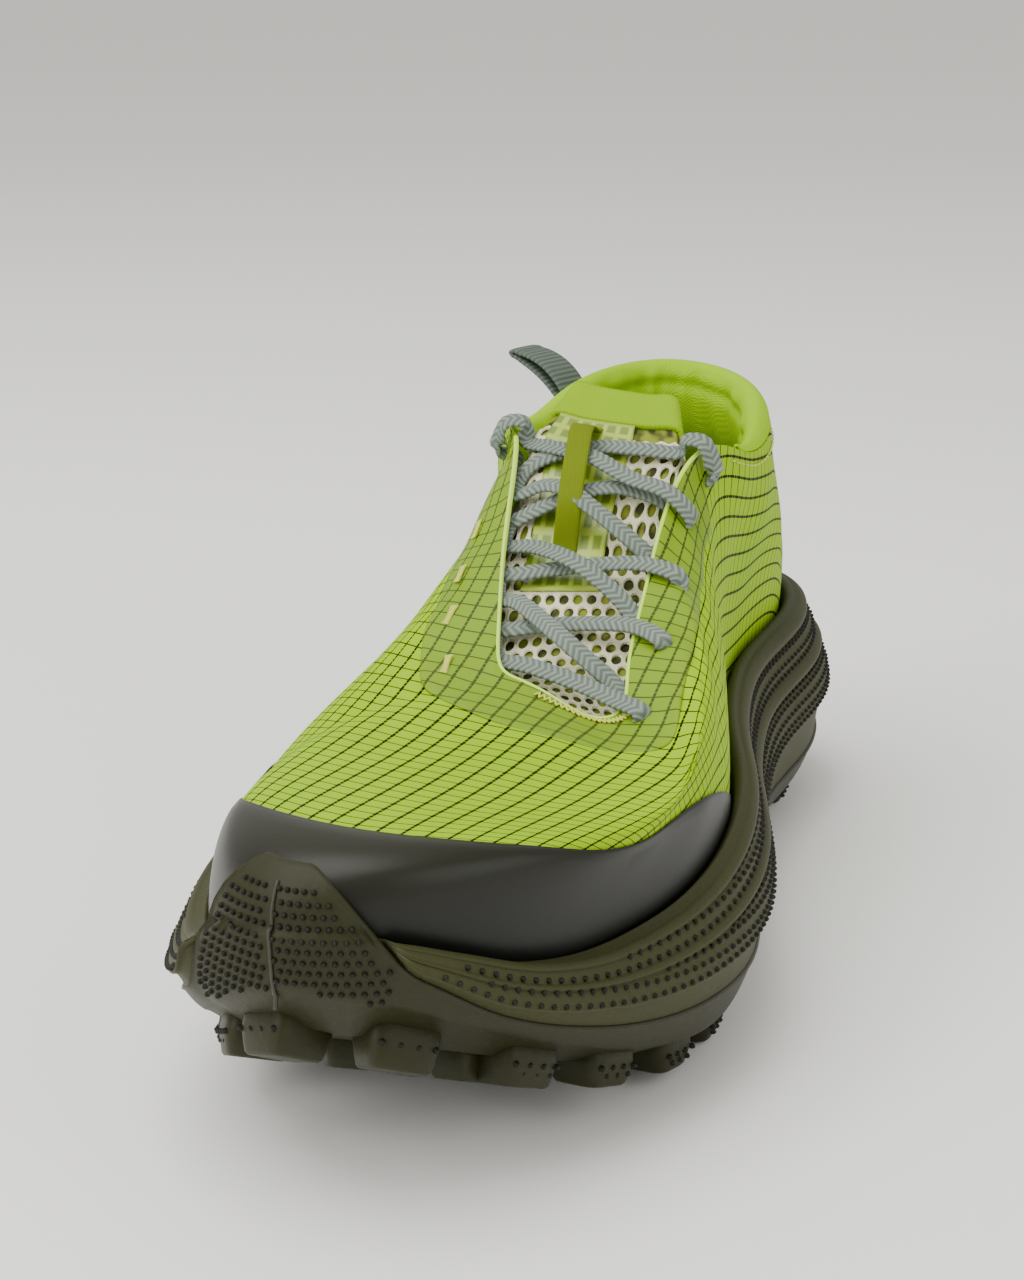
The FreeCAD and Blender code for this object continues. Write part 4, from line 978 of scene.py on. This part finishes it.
def patchPiece(name, t, low, high, outerDepth, innerDepth, columns, bevel=0.0):
    # sheet on the upper between two v limits, its rim feathered by bevel
    s = np.linspace(0, 1, columns)[None]
    v = low[:, None] + (high - low)[:, None] * s
    tt = np.broadcast_to(t[:, None], v.shape)
    rows = np.linspace(0, 1, len(t))[:, None]
    near = np.minimum(np.minimum(s, 1 - s) * columns, np.minimum(rows, 1 - rows) * len(t))
    depth = outerDepth + bevel * (1 - ramp(near, 0.0, 2.5))
    depth = depth - wrinkle(tt, v)
    return shellPiece(name, upperAt(tt, v, depth), upperAt(tt, v, innerDepth - wrinkle(tt, v)),
                      clothUv(tt, v))


guardT = 0.3 + np.linspace(-5.0, 5.0, 161)
guardTop = 0.42 - 0.35 * (np.abs(guardT - 0.3) / 5.0) ** 3.5
guard = patchPiece("toeGuard", guardT, np.full_like(guardT, -0.3), guardTop, -0.82, -0.3, 40, 0.35)
dress(guard, "guard", "shoe", "guard_film", "toe_guard")

filmT = np.linspace(-5.9, 7.3, 241)
filmWidth = 17.0 * (1 - 0.97 * ramp(np.abs(filmT - 0.7), 6.35, 6.62))
film = patchPiece("eyestayFilm", filmT, edgeShare(filmT, filmWidth), edgeShare(filmT, 0.0),
                  -0.42, -0.1, 30, 0.22)
dress(film, "film", "shoe", "eyestay_film", "eyestay_film")

edgeT = np.linspace(-6.0, 7.5, 300)
edgePath = upperAt(edgeT, np.full_like(edgeT, 1.0), 0.12)
edgeCore = ribbon("cutEdgeBead", edgePath, upperNormal(edgeT, np.full_like(edgeT, 1.0)), 1.1, 0.8, 10)
dress(edgeCore, "edge", "shoe", "eyestay_film")
print("upper made")


tongue = {
    "depth": 5.2, "crown": 1.2, "first": 0.12, "last": 0.80, "wing": 11.0,
    "overhang": 20.0, "instepUp": np.array([-0.036, -0.4995, 0.8656]),
    "holePitch": 3.9, "holeRadius": 1.35,
}


def tongueRows(b):
    # nine points across for each b: two on each wing, five over the crown
    c = np.clip((b - tongue["first"]) / (tongue["last"] - tongue["first"]), 0, 1)
    ahead = np.maximum(tongue["first"] - b, 0)
    beyond = np.maximum((b - tongue["last"]) / (1 - tongue["last"]), 0)
    tOut, tIn = 1.9 + 5.4 * c, -0.7 - 5.4 * c
    depth, wing = tongue["depth"], tongue["wing"]
    edgeIn, edgeOut = upperAt(tIn, 1.0 + 0 * tIn, depth), upperAt(tOut, 1.0 + 0 * tOut, depth)
    rows = [upperAt(tIn, edgeShare(tIn, wing), depth), upperAt(tIn, edgeShare(tIn, wing / 2), depth)]
    for f in np.linspace(0, 1, 5):
        crown = (tongue["crown"] - 1.8 * ramp(c, 0.4, 0.75)) * (1 - (2 * f - 1) ** 2)
        rows.append(edgeIn * (1 - f) + edgeOut * f + tongue["instepUp"] * crown[..., None])
    rows += [upperAt(tOut, edgeShare(tOut, wing / 2), depth), upperAt(tOut, edgeShare(tOut, wing), depth)]
    rows = np.stack(rows, 0)
    middle = rows[4]
    push = np.stack([0 * b, tongue["overhang"] * beyond - 75 * ahead,
                     0.45 * tongue["overhang"] * beyond - 40 * ahead], -1)
    narrow = 1 - 0.3 * beyond
    rows[..., 0] = middle[..., 0] + (rows[..., 0] - middle[..., 0]) * narrow
    return rows + push


bFine = np.linspace(0, 1, 121)
aFine = np.linspace(0, 1, 81)
tongueGrid = openCurve(tongueRows(bFine), aFine)
tongueNormal = unit(np.cross(np.gradient(tongueGrid, axis=0), np.gradient(tongueGrid, axis=1)))


def sampleTongue(a, b, lift):
    # bilinear reading of the tongue's face, moved out along its normal
    x, y = np.clip(a, 0, 1) * 80, np.clip(b, 0, 1) * 120
    i, j = np.minimum(x.astype(int), 79), np.minimum(y.astype(int), 119)
    f, g = (x - i)[..., None], (y - j)[..., None]

    def read(grid):
        # weighted mean of the four grid points round (x, y)
        return ((grid[i, j] * (1 - f) + grid[i + 1, j] * f) * (1 - g)
                + (grid[i, j + 1] * (1 - f) + grid[i + 1, j + 1] * f) * g)
    return read(tongueGrid) + unit(read(tongueNormal)) * np.broadcast_to(lift, a.shape)[..., None]


def tongueSheet(name, aRange, bRange, lift, thick, na, nb, shape=None):
    # thin sheet on the tongue between two lifts
    a, b = np.meshgrid(np.linspace(*aRange, na), np.linspace(*bRange, nb), indexing="ij")
    if shape is not None:
        a, b = shape(a, b)
    top, low = sampleTongue(a, b, lift + thick), sampleTongue(a, b, lift)
    run = np.stack([a * 75, b * 95], -1)
    return shellPiece(name, top, low, run)


padding = tongueSheet("tonguePadding", (0.02, 0.98), (0.03, 0.99), -3.2, 2.3, 41, 61)
dress(padding, "lining", "shoe", "insole_foam", "tongue_padding")


def netTemplate():
    # round hole in a hexagon cell: rings of hole, middle and cell edge
    a = np.arange(12) * np.pi / 6
    hexRadius = 0.5 / np.cos(((a + np.pi / 6) % (np.pi / 3)) - np.pi / 6)
    hole = np.stack([np.cos(a), np.sin(a)], -1)
    edge = hole * hexRadius[:, None]
    return hole, edge


def makeNet():
    # hexagon cells over the tongue's flat size, mapped on to its face
    pitch, radius = tongue["holePitch"], tongue["holeRadius"]
    hole, edge = netTemplate()
    width, length = 62.0, 84.0
    cols, rows = int(width / pitch), int(length / (pitch * 0.866))
    i, j = np.meshgrid(np.arange(cols), np.arange(rows), indexing="ij")
    cx = (i + 0.5 * (j % 2)) * pitch
    cy = j * pitch * 0.866
    centre = np.stack([cx, cy], -1).reshape(-1, 1, 2)
    rings = [(hole * radius, -0.05), (hole * (radius + 0.14), 0.42),
             (hole * (radius * 0.5) + edge * pitch * 0.5, 0.55), (edge * pitch * 1.001, 0.42)]
    flat = np.concatenate([centre + r[None] for r, _ in rings], 1)
    lift = np.concatenate([np.full(12, h) for _, h in rings])
    a = 0.1 + 0.8 * flat[..., 0] / width
    b = 0.02 + 0.86 * flat[..., 1] / length
    points = sampleTongue(a, b, np.broadcast_to(lift[None] - 0.2, a.shape))
    k = np.arange(12)
    k2 = (k + 1) % 12
    ring = np.stack([k, k + 12, k2 + 12, k2], -1)
    faces = np.concatenate([ring + 12 * m for m in range(3)])
    count = 48
    allFaces = (faces[None] + (np.arange(len(flat)) * count)[:, None, None]).reshape(-1, 4)
    return finishMesh("tongueNet", points.reshape(-1, 3), allFaces)


net = makeNet()
dress(net, "net", "shoe", "tongue_mesh", "tongue_mesh")
# sheet under the net's holes, its dark cells painted shade inside the holes
holes = tongueSheet("tongueInnerLayerAndHoleShade", (0.08, 0.92), (0.02, 0.9), -0.85, 0.35, 31, 41)


def holeMaterial():
    # spacer layer under the net, seen through its holes: dark cells by turns are painted shade in the holes,
    # olive cells are the layer's own colour
    mat, tree, shader = newMaterial("innerLayerAndHoleShade", "#3D3C08", 0.9)
    share = noise(tree, uvCoords(tree), 0.24, 1.0)
    ramped = addNode(tree, "ShaderNodeMapRange", None, {0: share, 1: 0.42, 2: 0.58})
    tree.links.new(mixColour(tree, ramped.outputs[0], "#33340A", "#7C861E"), shader.inputs["Base Color"])
    return mat


materials["hole"] = holeMaterial()
dress(holes, "hole", "shoe", "tongue_mesh")

patchSheet = tongueSheet("tonguePatch", (0.29, 0.58), (0.52, 0.88), 0.45, 0.3, 25, 31)
dress(patchSheet, "patch", "shoe", "tongue_patch", "tongue_patch")
topBand = tongueSheet("tongueTopBand", (0.06, 0.94), (0.885, 1.0), -0.9, 1.6, 41, 13)
dress(topBand, "band", "shoe", "collar_cloth", "tongue_top_band")


def keeperLift(b):
    # raised over the lace in the middle of its length
    return 0.9 + 6.5 * ramp(b, 0.0, 0.3) * (1 - ramp(b, 0.7, 1.0))


kb = np.linspace(0, 1, 60)
keeperMid = sampleTongue(np.full_like(kb, 0.4225), 0.6 + 0.25 * kb, keeperLift(kb))
keeperLeft = sampleTongue(np.full_like(kb, 0.385), 0.6 + 0.25 * kb, keeperLift(kb))
keeper = ribbon("laceKeeper", keeperMid, keeperMid - keeperLeft, 5.4, 0.8, 12)
dress(keeper, "keeper", "shoe", "collar_cloth", "lace_keeper")
print("tongue made")


collar = {
    "start": 8.7, "end": 18.1,
    "path": [(0.5, 0.1), (3.0, 0.5), (4.9, 1.9), (5.6, 3.8), (4.8, 5.8),
             (2.2, 7.3), (-2.5, 7.8), (-9, 7.3), (-16.5, 5.3), (-24.5, 2.8)],
}


def collarAt(t, height, depth):
    # point above (+) or below (-) the top edge and inwards from the face
    full = 0.3 + 0.7 * ramp(t, 8.7, 10.3) * (1 - ramp(t, 16.5, 18.1))
    depth = np.where(depth > 0.6, 0.6 + (depth - 0.6) * full, depth)
    speed = np.linalg.norm(upperPoint(t, 1.0 + 0 * t) - upperPoint(t, 0.99 + 0 * t), axis=-1) / 0.01
    v = np.where(height <= 0, edgeShare(t, np.maximum(-height, 0)), 1 + height * full / speed)
    return upperAt(t, v, depth)


def makeCollar():
    # cover path carried round, with folds that gather on the inner side
    t = np.linspace(collar["start"], collar["end"], 241)
    s = np.linspace(0, 1, 48)
    path = openCurve(np.array(collar["path"]), s)
    tt, hh = np.broadcast_arrays(t[:, None], path[None, :, 0])
    dd = np.broadcast_to(path[None, :, 1], tt.shape)
    outer = collarAt(tt, hh, dd)
    fold = (np.sin(7.5 * tt + 3.0 * s[None]) * 0.35 + np.sin(13.0 * tt - 5.0 * s[None]) * 0.2)
    fold = fold * ramp(s, 0.45, 0.6)[None] * (1 - ramp(s, 0.85, 1.0))[None]
    crease = -0.9 * np.exp(-((s - 0.6) / 0.03) ** 2)[None]
    normal = unit(np.cross(np.gradient(outer, axis=0), np.gradient(outer, axis=1)))
    outer = outer + normal * (fold + crease)[..., None]
    inner = outer - normal * 0.7
    run = np.stack([tt * 10, hh], -1)
    return shellPiece("collarCover", outer, inner, run)


collarPiece = makeCollar()
dress(collarPiece, "collar", "shoe", "collar_cloth", "collar_cover", "collar_foam")

liningT = np.linspace(8.4, 18.4, 121)
lining = patchPiece("heelLining", liningT, np.full_like(liningT, -0.28), edgeShare(liningT, 21.0),
                    2.4, 3.1, 24)
dress(lining, "lining", "shoe", "lining_cloth", "heel_lining")


def gusset(name, tRange, node):
    # sheet 6.2 to 6.7 mm inside the upper, from near the rim up to 12 mm below the edge
    t = np.linspace(*tRange, 41)
    piece = patchPiece(name, t, np.full_like(t, 0.05), edgeShare(t, 12.0), 6.2, 6.7, 20)
    dress(piece, "lining", "shoe", "lining_cloth", node)


gusset("gussetLateral", (3.8, 7.2), "gusset_lateral")
gusset("gussetMedial", (-5.9, -3.6), "gusset_medial")
print("collar made")


lace = {
    "width": 4.1, "thick": 1.25, "braid": 1.5,
    "route": [
        (-22.8, 1.5, 74.5), (-21.5, 7, 81), (-19, 12, 87), (-16.5, 17, 92.5),
        (-16, 28, 100.5), (-19.5, 27, 102), (-18, 26, 108.5), (-13.5, 27, 109),
        (-12.5, 27, 104.5), (-7.5, 23.5, 104.5), (3.5, 18, 104), (13.5, 13.5, 100.5),
        (22.5, 10.5, 98.5), (28, 10.5, 93), (25.5, 13, 90.5), (21.5, 13.5, 95.5),
        (12.5, 14.5, 97.8), (4.5, 13, 97.3), (-3.5, 8.5, 94.6), (-9, 7, 91.8),
        (-12, 6, 89.7), (-11.5, 1, 86.7), (-4, -2, 87.5), (6, -8.5, 86.5),
        (15, -12, 81.5), (21, -15.5, 76.6), (27.5, -25.5, 72.5), (28.5, -27.5, 76),
        (21, -23, 77.3), (7.5, -20.5, 76), (-2.5, -23, 75), (-7.5, -23.5, 73.6),
        (-5.5, -31, 70.6), (2.5, -34.5, 70.5), (13, -38.5, 69), (21.5, -43, 67.5),
        (28, -47, 66.5), (27, -45, 62.5), (20.5, -35, 67.5), (15, -33, 71.5),
        (7.5, -29.5, 76), (-3.5, -18.5, 79.3), (-9, -14.5, 78.6), (-10.5, -8.5, 81.6),
        (-5.5, -8, 83), (4, -4.5, 84), (18.5, -5, 86), (28, -7, 84.5),
        (27, -6, 80), (21, 2, 85), (13.5, 4.5, 90.5), (6.5, 6.5, 95),
        (1, 8.5, 98), (-5, 11, 98.3), (-12, 13, 95.2), (-12.5, 18, 97.7),
        (-8, 20.5, 101.9), (2.5, 24, 104.6), (14, 23, 105), (22.5, 23, 104.6),
        (24, 23, 107.5), (28.8, 21.5, 107), (31, 22, 99.5), (27, 23.5, 98),
        (26.5, 15, 91), (29.5, 9.5, 84), (32, 5, 77.5), (32.8, 0, 70.5)],
}


def smoothRoute(points, step):
    # Catmull-Rom through the route, then points a step apart along it
    fine = openCurve(np.array(points), np.linspace(0, 1, 6000))
    run = np.concatenate([[0], np.cumsum(np.linalg.norm(np.diff(fine, axis=0), axis=1))])
    even = np.arange(0, run[-1], step)
    return np.stack([np.interp(even, run, fine[:, k]) for k in range(3)], -1)


def braidRelief(run, w, h):
    # edges scalloped, and chevron ribs |sin| across the flat faces
    rib = np.abs(np.sin(np.pi * (run / lace["braid"] + np.abs(w) / 2.4)))
    lip = np.abs(np.sin(np.pi * run / lace["braid"]))
    spine = np.exp(-(w / 0.35) ** 2) * 0.22
    return w * (0.93 + 0.1 * lip), h * (0.82 + 0.2 * rib + spine)


lacePath = smoothRoute(lace["route"], 0.35)
laceTangent = unit(np.gradient(lacePath, axis=0))
upVector = np.broadcast_to(tongue["instepUp"], lacePath.shape)
laceSide = np.cross(upVector, laceTangent)
weight = np.linalg.norm(laceSide, axis=1, keepdims=True) ** 2
turn = np.sign((laceSide[1:] * laceSide[:-1]).sum(-1))
laceSide[1:] *= np.cumprod(np.where(turn < 0, -1.0, 1.0))[:, None]
laceSide = laceSide * weight
kernel = np.hanning(25)
kernel = kernel / kernel.sum()
laceSide = np.stack([np.convolve(laceSide[:, k], kernel, mode="same") for k in range(3)], -1)
lacePiece = ribbon("flatLace", lacePath, laceSide, lace["width"], lace["thick"], 20, braidRelief)
dress(lacePiece, "lace", "shoe", "lace_cord", "lace", "aglets", "lace_loops")
print("lace made:", round(len(lacePath) * 0.35), "mm")


def stitchRow(name, path, normal, length, gap, width):
    # short raised threads laid end to end along a path
    run = np.concatenate([[0], np.cumsum(np.linalg.norm(np.diff(path, axis=0), axis=1))])
    starts = np.arange(gap, run[-1] - length, length + gap)
    u = np.linspace(0, 1, 6)
    where = starts[:, None] + u[None] * length
    mid = np.stack([np.interp(where, run, path[:, k]) for k in range(3)], -1)
    nor = unit(np.stack([np.interp(where, run, normal[:, k]) for k in range(3)], -1))
    mid = mid + nor * (0.3 * np.sin(np.pi * u) - 0.05)[None, :, None]
    tan = unit(np.gradient(mid, axis=1))
    side = np.cross(nor, tan)
    angle = np.arange(6) * np.pi / 3
    size = width / 2 * (0.5 + 0.5 * np.sin(np.pi * u)) ** 0.5
    grid = (mid[:, :, None] + (side[:, :, None] * np.cos(angle)[None, None, :, None]
            + nor[:, :, None] * np.sin(angle)[None, None, :, None]) * size[None, :, None, None])
    faces, _ = gridFaces(6, 6, False, True)
    allFaces = (faces[None] + (np.arange(len(starts)) * 36)[:, None, None]).reshape(-1, 4)
    return finishMesh(name, grid.reshape(-1, 3), allFaces)


seamT = np.linspace(8.2, 18.6, 300)
seamV = edgeShare(seamT, 3.2)
seam = stitchRow("collarSeam", upperAt(seamT, seamV, -0.15), upperNormal(seamT, seamV), 2.2, 0.9, 0.5)
dress(seam, "thread", "shoe", "thread")


def zigzag(centre, along, across, normal, length, width, count):
    # centre + along * length * (k - 0.5) + across * half width * swing,
    # the swing a triangle wave of count turns
    k = np.linspace(0, 1, count * 8)
    swing = 2 * np.abs((k * count) % 1.0 - 0.5) * 2 - 1
    return (centre + along * ((k - 0.5) * length)[:, None]
            + across * (swing * width / 2)[:, None] + normal * 0.25)


tackPaths = []
tackNormals = []
for t0 in (-2.3, -3.4, -4.35, -5.2):
    t0 = np.array([t0])
    v0 = edgeShare(t0, 11.0)
    n0 = upperNormal(t0, v0)[0]
    along = unit(upperPoint(t0 + 0.05, v0) - upperPoint(t0 - 0.05, v0))[0]
    across = np.cross(n0, along)
    centre = upperPoint(t0, v0)[0] + n0 * 0.45
    tackPaths.append(zigzag(centre, along, across, n0, 6.0, 1.6, 14))
    tackNormals.append(np.broadcast_to(n0, tackPaths[-1].shape))
for number, (path, nor) in enumerate(zip(tackPaths, tackNormals)):
    tan = unit(np.gradient(path, axis=0))
    piece = ribbon("barTack%d" % (number + 1), path, np.cross(nor, tan), 0.35, 0.35, 6)
    dress(piece, "thread", "shoe", "thread", *(["bar_tacks"] if number == 0 else []))

stitchT = np.linspace(-0.2, 2.0, 120)
swing = np.abs(((np.arange(120) / 6.0) % 1.0) - 0.5) * 4 - 1
stitchV = edgeShare(stitchT, 2.6 + swing * 0.9)
throat = upperAt(stitchT, stitchV, -0.7)
throatSide = np.cross(upperNormal(stitchT, stitchV), unit(np.gradient(throat, axis=0)))
throatPiece = ribbon("throatZigzag", throat, throatSide, 0.45, 0.4, 6)
dress(throatPiece, "thread", "shoe", "thread", "throat_stitch")

tab = {"root": np.array([-19.946, 115.689, 96.891]), "out": np.array([-0.908, 0.419, 0.0]),
       "lean": math.radians(33.0), "length": 22.0, "width": 11.0, "thick": 1.4}


def makeTab():
    # one tape up the top layer, round the tip and back down the lower one
    k = np.linspace(0, 1, 90)
    s = 1 - np.abs(2 * k - 1)
    s = np.minimum(s * 1.02, 1.0)
    side = np.sign(0.5 - k) * (0.75 + 0.9 * np.sin(np.pi * np.minimum(s * 1.15, 1)) ** 0.6 * 0.8)
    side = side * np.clip((1 - s) / 0.06, 0, 1) ** 0.5
    arch = 2.2 * np.sin(np.pi * s)
    reach = tab["length"] * s + 0.4
    cl, sl = math.cos(tab["lean"]), math.sin(tab["lean"])
    u = reach * cl - (arch + side) * sl
    w = reach * sl + (arch + side) * cl
    path = tab["root"] + tab["out"] * u[:, None] + np.array([0, 0, 1.0]) * w[:, None]
    across = np.broadcast_to(np.cross([0, 0, 1.0], tab["out"]), path.shape)
    return ribbon("pullTab", path, across, tab["width"], tab["thick"], 14)


pullTab = makeTab()
dress(pullTab, "webbing", "pull_loop", "webbing", "pull_tab")
heelT = np.linspace(14.08, 14.72, 21)
heelTape = patchPiece("heelTape", heelT, edgeShare(heelT, 15.0), edgeShare(heelT, 0.8), -1.1, -0.1, 20, 0.3)
dress(heelTape, "webbing", "shoe", "webbing", "heel_patch")


def makeInsole(name, lift, thick):
    # sheet of even thickness: floor line + lift, + thick on its upper layer
    t = 13 + np.linspace(0, 25, 181)[:-1]
    y = outline(t)[:, 1]
    lined = ramp(y, -5.0, 40.0)
    inset = rimWall(t) + 1.1 + 3.5 + (7.2 - 3.5) * lined
    edge = insetPoint(t, inset, 0.0)
    rows = []
    for layer in (0, 1):
        shares = np.linspace(1, 0, 14) if layer else np.linspace(0, 1, 14)
        for share in shares:
            p = edge.copy()
            p[:, :2] = edge[:, :2] * (share + (1 - share) * np.array([0.08, 0.86]))
            p[:, 2] = floorLine(p[:, 1]) + lift + layer * thick
            rows.append(p)
    grid = np.stack(rows, 1)
    return gridPiece(name, grid, loopUv(grid), wrapU=True)


insoleTop = makeInsole("insoleCloth", 5.9, 0.6)
dress(insoleTop, "lining", "insole", "lining_cloth", "sockliner_cloth")
insoleBase = makeInsole("insoleFoam", 1.9, 3.9)
dress(insoleBase, "foam", "insole", "insole_foam", "sockliner_foam")
board = makeInsole("strobelBoard", 0.1, 1.4)
dress(board, "net", "shoe", "board_cloth", "strobel_board")
print("insole made")


studio = {"floor": "#F4F3EE", "wall": "#F7F6F3"}
mesh = bpy.data.meshes.new("floorPlane")
mesh.from_pydata([(-30, -10, 0), (30, -10, 0), (30, 60, 0), (-30, 60, 0)], [], [(0, 1, 2, 3)])
stage = bpy.data.objects.new("floorPlane", mesh)
bpy.context.scene.collection.objects.link(stage)
floorMat = newMaterial("paleStudioFloor", studio["floor"], 0.7)[0]
stage.data.materials.append(floorMat)

world = bpy.data.worlds.new("studioAir")
bpy.context.scene.world = world
world.use_nodes = True
world.node_tree.nodes["Background"].inputs[0].default_value = linear(studio["wall"])
world.node_tree.nodes["Background"].inputs[1].default_value = 0.85


def areaLight(name, place, target, size, power):
    # area lamp at the place, its back axis = unit(place - target)
    data = bpy.data.lights.new(name, "AREA")
    data.shape = "RECTANGLE"
    data.size, data.size_y = size
    data.energy = power
    light = bpy.data.objects.new(name, data)
    bpy.context.scene.collection.objects.link(light)
    back = unit(np.array(place, float) - np.array(target, float))
    right = unit(np.cross([0, 0, 1.0], back)) if abs(back[2]) < 0.99 else np.array([1.0, 0, 0])
    up = np.cross(back, right)
    m = np.eye(4)
    m[:3, 0], m[:3, 1], m[:3, 2], m[:3, 3] = right, up, back, place
    light.matrix_world = Matrix(m.tolist())
    return light


areaLight("softTop", (-0.35, -0.25, 1.3), (0, 0, 0.05), (1.2, 1.2), 19.0)
areaLight("keySide", (-0.9, -1.1, 0.8), (0, -0.05, 0.06), (0.8, 0.8), 11.0)
areaLight("fillRight", (1.3, -0.5, 0.7), (0, 0, 0.06), (1.0, 1.0), 6.0)

view = {"place": (114.75, -513.97, 217.29), "az": 0.23751, "el": 0.27933, "roll": 0.0022, "lens": 70.3}
camData = bpy.data.cameras.new("camera")
camData.lens = view["lens"]
camData.sensor_width = 36.0
camData.sensor_fit = "AUTO"
camData.clip_start = 0.01
camera = bpy.data.objects.new("camera", camData)
bpy.context.scene.collection.objects.link(camera)
ca, sa = math.cos(view["az"]), math.sin(view["az"])
ce, se = math.cos(view["el"]), math.sin(view["el"])
back = np.array([sa * ce, -ca * ce, se])
right = np.array([ca, sa, 0.0])
up = np.cross(back, right)
cr, sr = math.cos(view["roll"]), math.sin(view["roll"])
right, up = right * cr + up * sr, up * cr - right * sr
m = np.eye(4)
m[:3, 0], m[:3, 1], m[:3, 2], m[:3, 3] = right, up, back, toFrame(view["place"])
camera.matrix_world = Matrix(m.tolist())
bpy.context.scene.camera = camera
